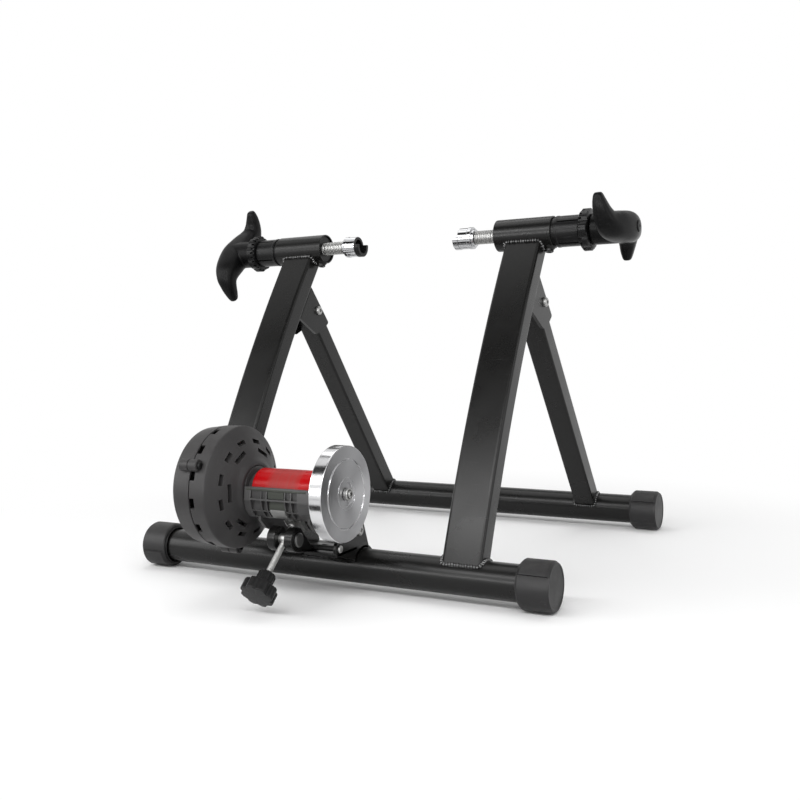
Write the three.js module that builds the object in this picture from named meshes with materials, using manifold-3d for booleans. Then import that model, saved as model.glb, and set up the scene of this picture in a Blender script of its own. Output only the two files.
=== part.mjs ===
// Folding wheel-on turbo trainer with a magnetic resistance unit, in millimetres
// X runs along the floor tubes, Y from the front tube to the rear tube, and Z is up
import * as THREE from 'three';
import { mergeVertices } from 'three/addons/utils/BufferGeometryUtils.js';
import Module from 'manifold-3d';

const wasm = await Module();
wasm.setup();

const degree = Math.PI / 180;
const turn = 2 * Math.PI;

// Clearances shared by all pieces
const gap = 0.3;
const runningGap = 1;
const overrun = 5;
const mergeTolerance = 0.0001;

// Steps on round faces
const tubeSteps = 24;
const mediumSteps = 16;
const smallSteps = 10;
const tinySteps = 8;

// Floor tubes
const overallWidth = 520;
const tubeSpacing = 422;
const tubeRadius = 19;
const tubeWall = 2;

// Levelling feet: a two-lobed snail cam round each tube end
const footLowRadius = 24.6;
const footHighRadius = 27;
const footLength = 36;
const footEndWall = 5;
const footOuterChamfer = 3;
const footInnerChamfer = 5;
const footStepAngle = 145 * degree;
const frontLeftFootTurn = 25 * degree;
const footLobeSteps = 12;

// Bowed uprights
const uprightSpacing = 324;
const uprightWidth = 45;
const uprightDepth = 25;
const uprightWall = 2;
const uprightCorner = 4;
const uprightFootAhead = 5.3;
const uprightHeadBehind = 5.7;
const uprightFootLean = 24.2 * degree;
const uprightHeadLean = 36.9 * degree;
const uprightSteps = 8;
const cornerSteps = 2;
const nearestSamples = 400;

// Clamp housings at the heads of the uprights
const clampHeight = 394.5;
const clampBehind = 206;
const housingRadius = 19.5;
const housingWall = 2;
const housingStart = 125;
const housingLength = 72;
const lugRadius = 5.5;
const lugRise = 5;
const lugInset = 6;
const rightLugAngle = -104 * degree;
const leftLugAngle = -76 * degree;

// Guide sleeves in the housings
const sleeveCollarRadius = 19;
const sleeveCollarLength = 30;
const sleeveNeckLength = 4;
const sleeveSlotWidth = 2;
const sleeveSlotAngle = 54 * degree;
const sleeveRootLength = 3;

// Screw clamps
const spindleRadius = 8.7;
const spindleFit = 0.4;
const threadPitch = 2.5;
const threadDepth = 1;
const cupMouthInset = 68;
const cupLipLength = 7;
const cupShellLength = 17;
const cupCollarLength = 3;
const cupRadius = 13.8;
const cupWall = 1.3;
const cupBoreRadius = 9.5;
const cupBoreDepth = 15;
const cupCollarRadius = 11;
const spindleNeckRadius = 5.5;
const lockRingRadius = 25;
const lockRingLength = 12;
const lockRingLobes = 8;
const lockRingLobeDepth = 2.2;
const lobeSteps = 5;

// Winged handles
const handleReach = 68;
const handleSweep = 19;
const handleTipInset = 258;
const handleRise = 39;
const handleHalfWidth = 18.5;
const handleHubRadius = 18.5;
const handleHubShare = 0.5;
const handleSocketDepth = 42;
const handleCapRadius = 7;
const handleCapThickness = 2.5;
const handleCapRecess = 2;
const handleRingPoints = 12;
const leftHandleAngle = 108 * degree;
const rightHandleAngle = 148 * degree;

// Along one wing: its reach, sweep and half width, then its crest, edges and underside
const wingShares = [
  [0, 0, 1, 1, 0.58, 0],
  [0.22, 0.5, 0.95, 0.95, 0.52, 0],
  [0.44, 0.92, 0.84, 0.84, 0.44, 0.02],
  [0.62, 1, 0.7, 0.71, 0.38, 0.05],
  [0.76, 0.8, 0.57, 0.58, 0.32, 0.05],
  [0.88, 0.47, 0.46, 0.47, 0.28, 0.06],
  [0.97, 0.16, 0.33, 0.38, 0.25, 0.1],
  [1, 0.05, 0.22, 0.33, 0.25, 0.15],
];

// Rear legs
const legWidth = 28;
const legDepth = 25;
const legWall = 2;
const legCorner = 3;
const pivotBehind = 207.5;
const pivotBelowClamp = 83;
const pivotHeight = clampHeight - pivotBelowClamp;
const pivotStopGap = 0.5;

// Hinge brackets behind the uprights
const cheekThickness = 4;
const weldGap = 0.7;
const bracketOutlineShares = [[-1, 0.56], [0.95, 0.04], [0.84, -0.3], [0.45, -0.89], [-1, -1.03]];

// Pivot bolts and nuts
const boltRadius = 4;
const boltHeadRadius = 6;
const boltHeadLength = 4;
const nutRadius = 7;
const nutLength = 6.5;
const boltEndLength = 2;

// Roller and its drive train, measured from the plane of the wheel
const rollerAhead = 72.3;
const rollerHeight = 118.4;
const rollerRadius = 22;
const rollerHalfLength = 39;
const shaftRadius = 5;
const shaftEndRadius = 4;
const shaftEndLength = 7;
const flywheelRadius = 49.5;
const flywheelThickness = 14.4;
const flywheelFace = 65;
const grooveWidth = 1.6;
const grooveDepth = 1;
const grooveRadiusShare = 0.72;
const flywheelHubRadius = 12.4;
const flywheelNutRadius = 6.5;
const flywheelNutLength = 4.5;
const bearingRadius = 11;
const bearingLength = 6;

// Roller cradle
const cradleHalfWidth = 46;
const cradleTroughGap = 1.6;
const cradleRadius = 30;
const cradleRib = 2.4;
const pocketDepth = 2;
const bearingBossRadius = 17;
const shellSpigotLength = 6;
const shellSpigotRadius = 23.5;
const cradleOutlineShares = [
  [-0.82, 0.2], [-0.86, 0], [-0.9, -0.3], [-0.8, -0.66], [-0.56, -0.93],
  [0.3, -0.93], [0.78, -0.72], [0.94, -0.4], [0.94, -0.12], [0.8, -0.1],
];
const cradleArmShares = [[1, -0.5], [-0.66, -0.5], [-0.66, -1], [-0.33, -1.33], [0.33, -1.6]];
const pocketColumnShares = [[-0.8, 0.28], [-0.5, 0.12], [-0.35, 0.47], [0.15, 0.13], [0.315, 0.15]];
const pocketRowShares = [[-0.02, 0.26], [-0.34, 0.26]];

// Magnet housing
const housingRimRadius = 66;
const housingDraft = 2.8;
const housingBackRadius = housingRimRadius - housingDraft;
const housingSplit = 87.3;
const housingShoulder = 67.6;
const housingBack = 113;
const outerVentRingShare = 0.8;
const innerVentRingShare = 0.53;
const shellWall = 3;
const domeFlatRadius = 31;
const splitGap = 0.3;
const rimVentCount = 12;
const rimVentLength = 13;
const rimVentWidth = 4;
const domeOuterVents = 9;
const domeInnerVents = 7;
const domeVentWidth = 4.5;
const domeOuterVentLength = 15;
const domeInnerVentLength = 12;
const shellScrewAngle = 153 * degree;
const shellScrewCount = 3;
const shellScrewOutset = 2;
const shellBossRadius = 6.5;
const shellBossLength = 11;
const shellScrewRadius = 2.2;
const shellScrewHeadRadius = 4;
const shellScrewHeadLength = 2.5;

// Eddy current brake inside the housing
const rotorClearance = 9;
const rotorRadius = housingRimRadius - shellWall - rotorClearance;
const rotorThickness = 3;
const rotorInset = 89;
const rotorHubRadius = 14;
const rotorHubLength = 4;
const magnetRadius = 10;
const magnetThickness = 7;
const magnetAirGap = 2;
const magnetRimMargin = 6;
const magnetCircleRadius = rotorRadius - magnetRadius - magnetRimMargin;
const magnetCount = 4;
const magnetPlateMargin = 2;
const magnetPlateRadius = rotorRadius - magnetPlateMargin;
const magnetPlateBore = 12;
const magnetPlateThickness = 2.5;

// Bracket on the front tube and the unit's hinge
const unitHingeAhead = 8;
const unitHingeRise = 40.8;
const hingePinRadius = 4;
const hingeBossRadius = 11.5;
const unitBracketLeft = 27;
const unitBracketRight = 41;
const unitArmInset = 29;
const unitArmThickness = 4;
const saddleWall = 4;
const saddleRearAngle = 62 * degree;
const saddleFrontAngle = 202 * degree;
const saddleSteps = 12;
const bracketSheet = 4;
const bracketBoltRise = 28.8;
const bracketBoltAhead = 50;
const bracketBoltRadius = 3;
const bracketBoltHeadRadius = 4;
const bracketBoltHeadLength = 2;
const bracketRibCount = 3;
const bracketRibThickness = 2.5;

// Adjusting screw: a cross nut in two ears carries the rod
const screwPlane = -6;
const crossNutAhead = 81;
const crossNutRise = 42.3;
const screwAngle = 41 * degree;
const earRadius = 13;
const earThickness = 10;
const earSpacing = 11.6;
const crossNutRadius = 5.5;
const crossNutEndRadius = 7.5;
const crossNutEndLength = 2.2;
const rodRadius = 3.3;
const rodReach = 18.4;
const ballRadius = 5;
const ballPlateInset = 22.3;
const ballSocketRadius = 2;
const clipThickness = 2.5;
const clipWidth = 22;
const clipUpShare = 0.28;
const clipDownShare = 0.8;
const knobStart = 44.5;
const knobHubLength = 14.5;
const knobGripLength = 13;
const knobHubRadius = 9.5;
const knobRadius = 18.5;
const knobLobes = 8;
const knobLobeDepth = 2.6;
const knobSocketDepth = 18;

// Finishes
const glossPaint = { color: 0x141414, roughness: 0.3, metalness: 0.1 };
const mattePlastic = { color: 0x1b1b1c, roughness: 0.55, metalness: 0 };
const glossPlastic = { color: 0x161617, roughness: 0.35, metalness: 0 };
const charcoalPlastic = { color: 0x2c2c2d, roughness: 0.7, metalness: 0 };
const redUrethane = { color: 0xb8121a, roughness: 0.4, metalness: 0 };
const chrome = { color: 0xd9dadb, roughness: 0.12, metalness: 1 };
const turnedSteel = { color: 0xb9babb, roughness: 0.28, metalness: 1 };
const zincSteel = { color: 0xc4c5c6, roughness: 0.35, metalness: 1 };
const aluminium = { color: 0xc9cbcd, roughness: 0.4, metalness: 1 };
const ferrite = { color: 0x2a2a2c, roughness: 0.6, metalness: 0.3 };

// Sizes that follow from the ones above
const wheelPlane = 0;
const uprightCentre = uprightSpacing / 2;
const tubeHeight = footRadiusAt(-turn / 4);
const rollerRise = rollerHeight - tubeHeight;
const cupShellStart = cupMouthInset + cupLipLength;
const cupCollarStart = cupShellStart + cupShellLength;
const housingEnd = housingStart + housingLength;
const sleeveCollarStart = housingEnd + sleeveNeckLength;
const sleeveEnd = sleeveCollarStart + sleeveCollarLength;
const lockRingStart = sleeveEnd + gap;
const lockRingEnd = lockRingStart + lockRingLength;
const handleStart = lockRingEnd + gap;
const handleCrest = handleTipInset + handleRise;
const flywheelBack = flywheelFace - flywheelThickness;
const cradleWallInner = cradleHalfWidth - bearingLength;
const unitHingeBehindRoller = rollerAhead - unitHingeAhead;
const unitHingeBelowRoller = rollerRise - unitHingeRise;
const shellScrewCircle = housingRimRadius + shellScrewOutset;
const rotorBack = rotorInset + rotorThickness;
const magnetStart = rotorBack + magnetAirGap;
const magnetPlateStart = magnetStart + magnetThickness + gap;
const magnetPlateBack = magnetPlateStart + magnetPlateThickness;

// Geometry helpers

function solidFrom(geometry) {
  const plain = geometry.clone();
  plain.deleteAttribute('normal');
  plain.deleteAttribute('uv');
  const merged = mergeVertices(plain, mergeTolerance);
  const corners = merged.index.array;
  const kept = [];
  for (let i = 0; i < corners.length; i += 3) {
    const [a, b, c] = corners.slice(i, i + 3);
    if (a !== b && b !== c && c !== a) {
      kept.push(a, b, c);
    }
  }
  return new wasm.Manifold(new wasm.Mesh({
    numProp: 3,
    vertProperties: merged.attributes.position.array,
    triVerts: new Uint32Array(kept),
  }));
}

function geometryFrom(solid) {
  const mesh = solid.getMesh();
  const geometry = new THREE.BufferGeometry();
  geometry.setAttribute('position', new THREE.BufferAttribute(mesh.vertProperties, 3));
  geometry.setIndex(new THREE.BufferAttribute(mesh.triVerts, 1));
  return geometry;
}

function join(...geometries) {
  const [first, ...rest] = geometries.map(solidFrom);
  return geometryFrom(rest.reduce((whole, extra) => whole.add(extra), first));
}

function cut(geometry, ...tools) {
  return geometryFrom(tools.map(solidFrom).reduce((left, tool) => left.subtract(tool), solidFrom(geometry)));
}

function overlapOf(first, second) {
  return geometryFrom(solidFrom(first).intersect(solidFrom(second)));
}

// A profile of [x, radius] pairs turned round the X axis
function turned(profile, steps) {
  const points = profile.map(([x, radius]) => new THREE.Vector2(radius, x));
  return new THREE.LatheGeometry(points, steps).rotateZ(-turn / 4);
}

function rod(start, end, radius, steps) {
  return turned([[start, 0], [start, radius], [end, radius], [end, 0]], steps);
}

function pipe(start, end, radius, bore, steps) {
  return turned([[start, bore], [start, radius], [end, radius], [end, bore], [start, bore]], steps);
}

// An outline of [y, z] points pushed along X
function slab(points, start, end) {
  const shape = new THREE.Shape(points.map(([y, z]) => new THREE.Vector2(y, z)));
  const geometry = new THREE.ExtrudeGeometry(shape, { depth: end - start, bevelEnabled: false });
  const turnAxes = new THREE.Matrix4().makeBasis(
    new THREE.Vector3(0, 1, 0),
    new THREE.Vector3(0, 0, 1),
    new THREE.Vector3(1, 0, 0),
  );
  return geometry.applyMatrix4(turnAxes).translate(start, 0, 0);
}

function block(from, to) {
  const size = to.map((value, axis) => value - from[axis]);
  const middle = to.map((value, axis) => (value + from[axis]) / 2);
  return new THREE.BoxGeometry(...size).translate(...middle);
}

function lobedOutline(radius, depth, lobes) {
  const points = [];
  const count = lobes * lobeSteps;
  for (let i = 0; i < count; i += 1) {
    const angle = (i / count) * turn;
    const dip = (1 - Math.cos(angle * lobes)) / 2;
    const reach = radius - depth * dip * dip;
    points.push([reach * Math.cos(angle), reach * Math.sin(angle)]);
  }
  return points;
}

function roundedSection(width, depth, corner) {
  const shape = new THREE.Shape();
  const x = width / 2 - corner;
  const y = depth / 2 - corner;
  shape.absarc(x, y, corner, 0, turn / 4);
  shape.absarc(-x, y, corner, turn / 4, turn / 2);
  shape.absarc(-x, -y, corner, turn / 2, (3 * turn) / 4);
  shape.absarc(x, -y, corner, (3 * turn) / 4, turn);
  return shape;
}

function hollowSection(width, depth, wall, corner) {
  const shape = roundedSection(width, depth, corner);
  const x = width / 2 - wall;
  const y = depth / 2 - wall;
  const corners = [[x, y], [-x, y], [-x, -y], [x, -y]];
  shape.holes.push(new THREE.Path(corners.map(([px, py]) => new THREE.Vector2(px, py))));
  return shape;
}

function named(name, geometry, finish) {
  const mesh = new THREE.Mesh(geometry, new THREE.MeshStandardMaterial(finish));
  mesh.name = name;
  return mesh;
}

function placed(object, x, y, z) {
  object.position.set(x, y, z);
  return object;
}

// Floor tubes and feet

function footRadiusAt(angle) {
  const past = ((footStepAngle - angle) / (turn / 2)) % 1;
  const share = past < 0 ? past + 1 : past;
  return footHighRadius - (footHighRadius - footLowRadius) * share;
}

function footOutline() {
  const points = [];
  for (let lobe = 0; lobe < 2; lobe += 1) {
    for (let i = 0; i <= footLobeSteps; i += 1) {
      const share = i / footLobeSteps;
      const angle = footStepAngle - (lobe + share) * (turn / 2);
      const radius = footHighRadius - (footHighRadius - footLowRadius) * share;
      points.push([radius * Math.cos(angle), radius * Math.sin(angle)]);
    }
  }
  return points;
}

function footGeometry() {
  const outer = overallWidth / 2;
  const inner = outer - footLength;
  const wide = footHighRadius + overrun;
  const chamfered = turned([
    [inner, 0],
    [inner, footHighRadius - footInnerChamfer],
    [inner + footInnerChamfer + overrun, wide],
    [outer - footOuterChamfer - overrun, wide],
    [outer, footHighRadius - footOuterChamfer],
    [outer, 0],
  ], mediumSteps);
  const cam = overlapOf(slab(footOutline(), inner, outer), chamfered);
  const bore = rod(inner - overrun, outer - footEndWall, tubeRadius + gap, tubeSteps);
  return cut(cam, bore);
}

function feet(prefix, leftTurn) {
  const group = new THREE.Group();
  const right = named(`${prefix}_right_foot`, footGeometry(), mattePlastic);
  const left = named(`${prefix}_left_foot`, footGeometry(), mattePlastic);
  left.rotation.set(-leftTurn, 0, turn / 2);
  group.add(right, left);
  return group;
}

function floorTube(name) {
  const half = overallWidth / 2 - footEndWall - gap;
  return named(name, pipe(-half, half, tubeRadius, tubeRadius - tubeWall, tubeSteps), glossPaint);
}

// Uprights, with the clamp housings at their heads

function uprightCurve() {
  const low = new THREE.Vector3(0, -uprightFootAhead, tubeHeight);
  const high = new THREE.Vector3(0, clampBehind + uprightHeadBehind, clampHeight);
  const run = high.y - low.y;
  const rise = high.z - low.z;
  const turnOver = Math.sin(uprightHeadLean - uprightFootLean);
  const reach = (rise * Math.sin(uprightHeadLean) - run * Math.cos(uprightHeadLean)) / turnOver;
  const along = new THREE.Vector3(0, Math.sin(uprightFootLean), Math.cos(uprightFootLean));
  return new THREE.QuadraticBezierCurve3(low, low.clone().addScaledVector(along, reach), high);
}

function uprightGeometry() {
  const section = hollowSection(uprightWidth, uprightDepth, uprightWall, uprightCorner);
  const swept = new THREE.ExtrudeGeometry(section, {
    steps: uprightSteps,
    extrudePath: uprightCurve(),
    curveSegments: cornerSteps,
    bevelEnabled: false,
  });
  const span = uprightWidth / 2 + overrun;
  const tube = rod(-span, span, tubeRadius + gap, tubeSteps).translate(0, 0, tubeHeight);
  const head = rod(-span, span, housingRadius + gap, tubeSteps).translate(0, clampBehind, clampHeight);
  return cut(swept, tube, head);
}

// The housing lies along +X; the lug for the sleeve's set screw stands beside the upright
function clampHousingGeometry(lugPlace, lugAngle) {
  const bore = housingRadius - housingWall;
  const shell = pipe(housingStart, housingEnd, housingRadius, bore, tubeSteps);
  const lug = new THREE.CylinderGeometry(lugRadius, lugRadius, housingRadius + lugRise, smallSteps);
  lug.translate(0, (housingRadius + lugRise) / 2, 0).rotateX(lugAngle).translate(lugPlace, 0, 0);
  const inside = rod(housingStart - overrun, housingEnd + overrun, bore, tubeSteps);
  return cut(join(shell, lug), inside);
}

function guideSleeveGeometry() {
  const spigot = housingRadius - housingWall - gap;
  const bore = spindleRadius + spindleFit;
  const body = turned([
    [housingStart, bore],
    [housingStart, spigot],
    [sleeveCollarStart, spigot],
    [sleeveCollarStart, sleeveCollarRadius],
    [sleeveEnd, sleeveCollarRadius],
    [sleeveEnd, bore],
    [housingStart, bore],
  ], mediumSteps);
  const half = sleeveSlotWidth / 2;
  const wide = sleeveCollarRadius + overrun;
  const from = sleeveCollarStart + sleeveRootLength;
  const to = sleeveEnd + overrun;
  const slots = [0, turn / 4].map((angle) => (
    block([from, -half, -wide], [to, half, wide]).rotateX(sleeveSlotAngle + angle)
  ));
  return cut(body, ...slots);
}

function nearestOnUpright(y, z) {
  const curve = uprightCurve();
  const target = new THREE.Vector3(0, y, z);
  let best = 0;
  for (let i = 1; i <= nearestSamples; i += 1) {
    const here = curve.getPoint(i / nearestSamples).distanceTo(target);
    if (here < curve.getPoint(best).distanceTo(target)) {
      best = i / nearestSamples;
    }
  }
  const tangent = curve.getTangent(best);
  return {
    lean: Math.atan2(tangent.y, tangent.z),
    reach: curve.getPoint(best).distanceTo(target) - uprightDepth / 2,
  };
}

const pivotFace = nearestOnUpright(pivotBehind, pivotHeight);

// The bracket is drawn round its pivot, with +Z along the upright and +Y away from it
function hingeBracketGeometry() {
  const { reach } = pivotFace;
  const points = bracketOutlineShares.map(
    ([out, up]) => [Math.max(out * reach, weldGap - reach), up * reach],
  );
  const inner = legWidth / 2 + runningGap;
  const outer = inner + cheekThickness;
  const folded = slab(points, -outer, outer);
  const wide = 2 * reach;
  const channel = block([-inner, weldGap - reach + cheekThickness, -wide], [inner, wide, wide]);
  const hole = rod(-outer - overrun, outer + overrun, boltRadius + gap, smallSteps);
  return cut(folded, channel, hole);
}

function pivotBoltGeometry() {
  const outer = legWidth / 2 + runningGap + cheekThickness;
  const head = outer + gap;
  const end = -(outer + gap + nutLength + boltEndLength);
  return turned([
    [end, 0],
    [end, boltRadius],
    [head, boltRadius],
    [head, boltHeadRadius],
    [head + boltHeadLength / 2, boltHeadRadius],
    [head + boltHeadLength, boltHeadRadius / 2],
    [head + boltHeadLength, 0],
  ], smallSteps);
}

function hexNut(radius, length, bore) {
  const points = [];
  for (let i = 0; i < 6; i += 1) {
    const angle = (i / 6) * turn;
    points.push([radius * Math.cos(angle), radius * Math.sin(angle)]);
  }
  const hole = rod(-length - overrun, overrun, bore, smallSteps);
  return cut(slab(points, -length, 0), hole);
}

function uprightAssembly(side, sign) {
  const group = new THREE.Group();
  const x = sign * uprightCentre;
  group.add(placed(named(`${side}_upright`, uprightGeometry(), glossPaint), x, 0, 0));

  const bracket = named(`${side}_hinge_bracket`, hingeBracketGeometry(), glossPaint);
  bracket.rotation.x = -pivotFace.lean;
  group.add(placed(bracket, x, pivotBehind, pivotHeight));

  const bolt = named(`${side}_pivot_bolt`, pivotBoltGeometry(), zincSteel);
  group.add(placed(bolt, x, pivotBehind, pivotHeight));

  const nut = named(`${side}_pivot_nut`, hexNut(nutRadius, nutLength, boltRadius + gap), zincSteel);
  const nutPlace = legWidth / 2 + runningGap + cheekThickness + gap;
  group.add(placed(nut, x - nutPlace, pivotBehind, pivotHeight));
  return group;
}

// Screw clamps, drawn with +X pointing out from the wheel

function cupShellGeometry() {
  const bore = cupRadius - cupWall;
  const back = cupCollarStart + cupCollarLength;
  return turned([
    [cupShellStart, bore],
    [cupShellStart, cupRadius],
    [cupCollarStart, cupRadius],
    [cupCollarStart, cupCollarRadius],
    [back, cupCollarRadius],
    [back, spindleNeckRadius + gap],
    [cupCollarStart - cupWall, spindleNeckRadius + gap],
    [cupCollarStart - cupWall, bore],
    [cupShellStart, bore],
  ], mediumSteps);
}

// The core's lower half reaches past the shell as a lip that the skewer's end rests in
function cupCoreGeometry() {
  const outside = cupRadius - cupWall - gap;
  const floor = cupMouthInset + cupBoreDepth;
  const back = cupCollarStart - cupWall - gap;
  const plug = turned([
    [cupShellStart, cupBoreRadius],
    [cupShellStart, outside],
    [back, outside],
    [back, spindleNeckRadius + gap],
    [floor, spindleNeckRadius + gap],
    [floor, cupBoreRadius],
    [cupShellStart, cupBoreRadius],
  ], mediumSteps);
  const ring = pipe(cupMouthInset, cupShellStart - gap, cupRadius, cupBoreRadius, mediumSteps);
  const neck = pipe(cupShellStart - gap - gap, cupShellStart + gap, outside, cupBoreRadius, mediumSteps);
  const wide = cupRadius + overrun;
  const upper = block(
    [cupMouthInset - overrun, -wide, cupBoreRadius / 4],
    [cupShellStart - gap - gap, wide, wide],
  );
  return cut(join(plug, ring, neck), upper);
}

function spindleGeometry() {
  const tip = cupMouthInset + cupBoreDepth + runningGap;
  const shoulder = cupCollarStart + cupCollarLength + gap;
  const profile = [[tip, 0], [tip, spindleNeckRadius], [shoulder, spindleNeckRadius]];
  const count = Math.floor((housingStart + threadPitch - shoulder) / threadPitch);
  for (let i = 0; i < count; i += 1) {
    profile.push([shoulder + i * threadPitch, spindleRadius - threadDepth]);
    profile.push([shoulder + (i + 0.5) * threadPitch, spindleRadius]);
  }
  const end = handleStart + handleSocketDepth - gap;
  profile.push([shoulder + count * threadPitch, spindleRadius - threadDepth]);
  profile.push([end, spindleRadius - threadDepth], [end, 0]);
  return turned(profile, smallSteps);
}

function lockRingGeometry() {
  const outline = lobedOutline(lockRingRadius, lockRingLobeDepth, lockRingLobes);
  const body = slab(outline, lockRingStart, lockRingEnd);
  const bore = rod(lockRingStart - overrun, lockRingEnd + overrun, spindleRadius + spindleFit, mediumSteps);
  return cut(body, bore);
}

// A skin over rings of points, closed by a fan at each end
function loft(rings) {
  const count = rings[0].length;
  const points = rings.flat();
  const faces = [];
  for (let r = 0; r < rings.length - 1; r += 1) {
    for (let i = 0; i < count; i += 1) {
      const next = (i + 1) % count;
      const [a, b] = [r * count + i, r * count + next];
      const [c, d] = [a + count, b + count];
      faces.push(a, b, d, a, d, c);
    }
  }
  for (const [ring, side] of [[0, -1], [rings.length - 1, 1]]) {
    const middle = new THREE.Vector3();
    rings[ring].forEach((point) => middle.addScaledVector(point, 1 / count));
    points.push(middle);
    for (let i = 0; i < count; i += 1) {
      const pair = [ring * count + i, ring * count + ((i + 1) % count)];
      faces.push(...(side > 0 ? pair : pair.reverse()), points.length - 1);
    }
  }
  return new THREE.BufferGeometry().setFromPoints(points).setIndex(faces);
}

// The wings sweep from tip to tip through the hub, each section a crest over an underside
function wingsGeometry() {
  const otherWing = wingShares.slice(1).reverse().map(([out, sweep, ...rest]) => [-out, -sweep, ...rest]);
  const line = otherWing.concat(wingShares);
  const spots = line.map(([out, sweep]) => new THREE.Vector2(out * handleReach, sweep * handleSweep));
  const rings = line.map(([, , half, crest, edge, under], i) => {
    const along = spots[Math.min(i + 1, line.length - 1)].clone().sub(spots[Math.max(i - 1, 0)]).normalize();
    const ring = [];
    for (let n = 0; n < handleRingPoints; n += 1) {
      const angle = (n / handleRingPoints) * turn;
      const bulge = (angle < turn / 2 ? crest - edge : edge - under) * Math.sin(angle);
      const x = handleTipInset + (edge + bulge) * handleRise;
      const across = half * handleHalfWidth * Math.cos(angle);
      ring.push(new THREE.Vector3(x, spots[i].x - across * along.y, spots[i].y + across * along.x));
    }
    return ring;
  });
  return loft(rings);
}

function handleGeometry() {
  const hubEnd = handleTipInset + handleHubShare * handleRise;
  const hub = rod(handleStart, hubEnd, handleHubRadius, mediumSteps);
  const socketEnd = handleStart + handleSocketDepth;
  const socket = rod(handleStart - overrun, socketEnd, spindleRadius + gap, smallSteps);
  const recessStart = handleCrest - handleCapRecess;
  const recess = rod(recessStart, handleCrest + overrun, handleCapRadius + gap, smallSteps);
  return cut(join(wingsGeometry(), hub), socket, recess);
}

function handleCapGeometry() {
  const floor = handleCrest - handleCapRecess + gap;
  return rod(floor, floor + handleCapThickness, handleCapRadius, smallSteps);
}

function clampAssembly(side, sign, lug, handleAngle) {
  const group = placed(new THREE.Group(), 0, clampBehind, clampHeight);
  group.rotation.z = sign > 0 ? 0 : turn / 2;
  const handle = named(`${side}_handle`, handleGeometry(), glossPlastic);
  handle.rotation.x = handleAngle;
  group.add(
    named(`${side}_clamp_housing`, clampHousingGeometry(lug.place, lug.angle), glossPaint),
    named(`${side}_guide_sleeve`, guideSleeveGeometry(), mattePlastic),
    named(`${side}_cup_shell`, cupShellGeometry(), chrome),
    named(`${side}_cup_core`, cupCoreGeometry(), mattePlastic),
    named(`${side}_spindle`, spindleGeometry(), zincSteel),
    named(`${side}_lock_ring`, lockRingGeometry(), mattePlastic),
    handle,
    named(`${side}_handle_cap`, handleCapGeometry(), glossPlastic),
  );
  return group;
}

// Rear frame, each leg drawn down from its pivot

function rearLegGeometry() {
  const run = Math.hypot(tubeSpacing - pivotBehind, pivotHeight - tubeHeight);
  const lean = Math.atan2(tubeSpacing - pivotBehind, pivotHeight - tubeHeight);
  const head = pivotFace.reach + legDepth;
  const section = hollowSection(legWidth, legDepth, legWall, legCorner);
  const tube = new THREE.ExtrudeGeometry(section, {
    depth: run + head,
    bevelEnabled: false,
    curveSegments: cornerSteps,
  }).translate(0, 0, -run);
  const wide = legWidth + overrun;
  const cope = rod(-wide, wide, tubeRadius + gap, tubeSteps).translate(0, 0, -run);
  const stop = pivotFace.reach - weldGap - cheekThickness - pivotStopGap;
  const beyond = block([-wide, -stop - head, -2 * head], [wide, -stop, 2 * head]);
  beyond.rotateX(-pivotFace.lean - lean);
  const hole = rod(-wide, wide, boltRadius + gap, smallSteps);
  return cut(tube, cope, beyond, hole);
}

function rearLeg(side, sign) {
  const leg = named(`${side}_rear_leg`, rearLegGeometry(), glossPaint);
  leg.rotation.x = Math.atan2(tubeSpacing - pivotBehind, pivotHeight - tubeHeight);
  return placed(leg, sign * uprightCentre, pivotBehind, pivotHeight);
}

// Bracket on the front tube, drawn round the tube's axis

function arcPoints(radius, from, to, steps) {
  const points = [];
  for (let i = 0; i <= steps; i += 1) {
    const angle = from + ((to - from) * i) / steps;
    points.push([radius * Math.cos(angle), radius * Math.sin(angle)]);
  }
  return points;
}

function cheekOutline() {
  const boss = arcPoints(hingeBossRadius, 0, turn / 3, tinySteps)
    .map(([y, z]) => [y - unitHingeAhead, z + unitHingeRise]);
  const bolt = arcPoints(2 * bracketBoltHeadRadius, turn / 4, (3 * turn) / 4, tinySteps)
    .map(([y, z]) => [y - bracketBoltAhead, z + bracketBoltRise]);
  const seat = tubeRadius + saddleWall;
  const heel = [[-seat, 0], [seat * Math.cos(saddleRearAngle / 2), 0], [seat - saddleWall / 2, seat / 2]];
  return [...boss, ...bolt, ...heel];
}

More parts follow.
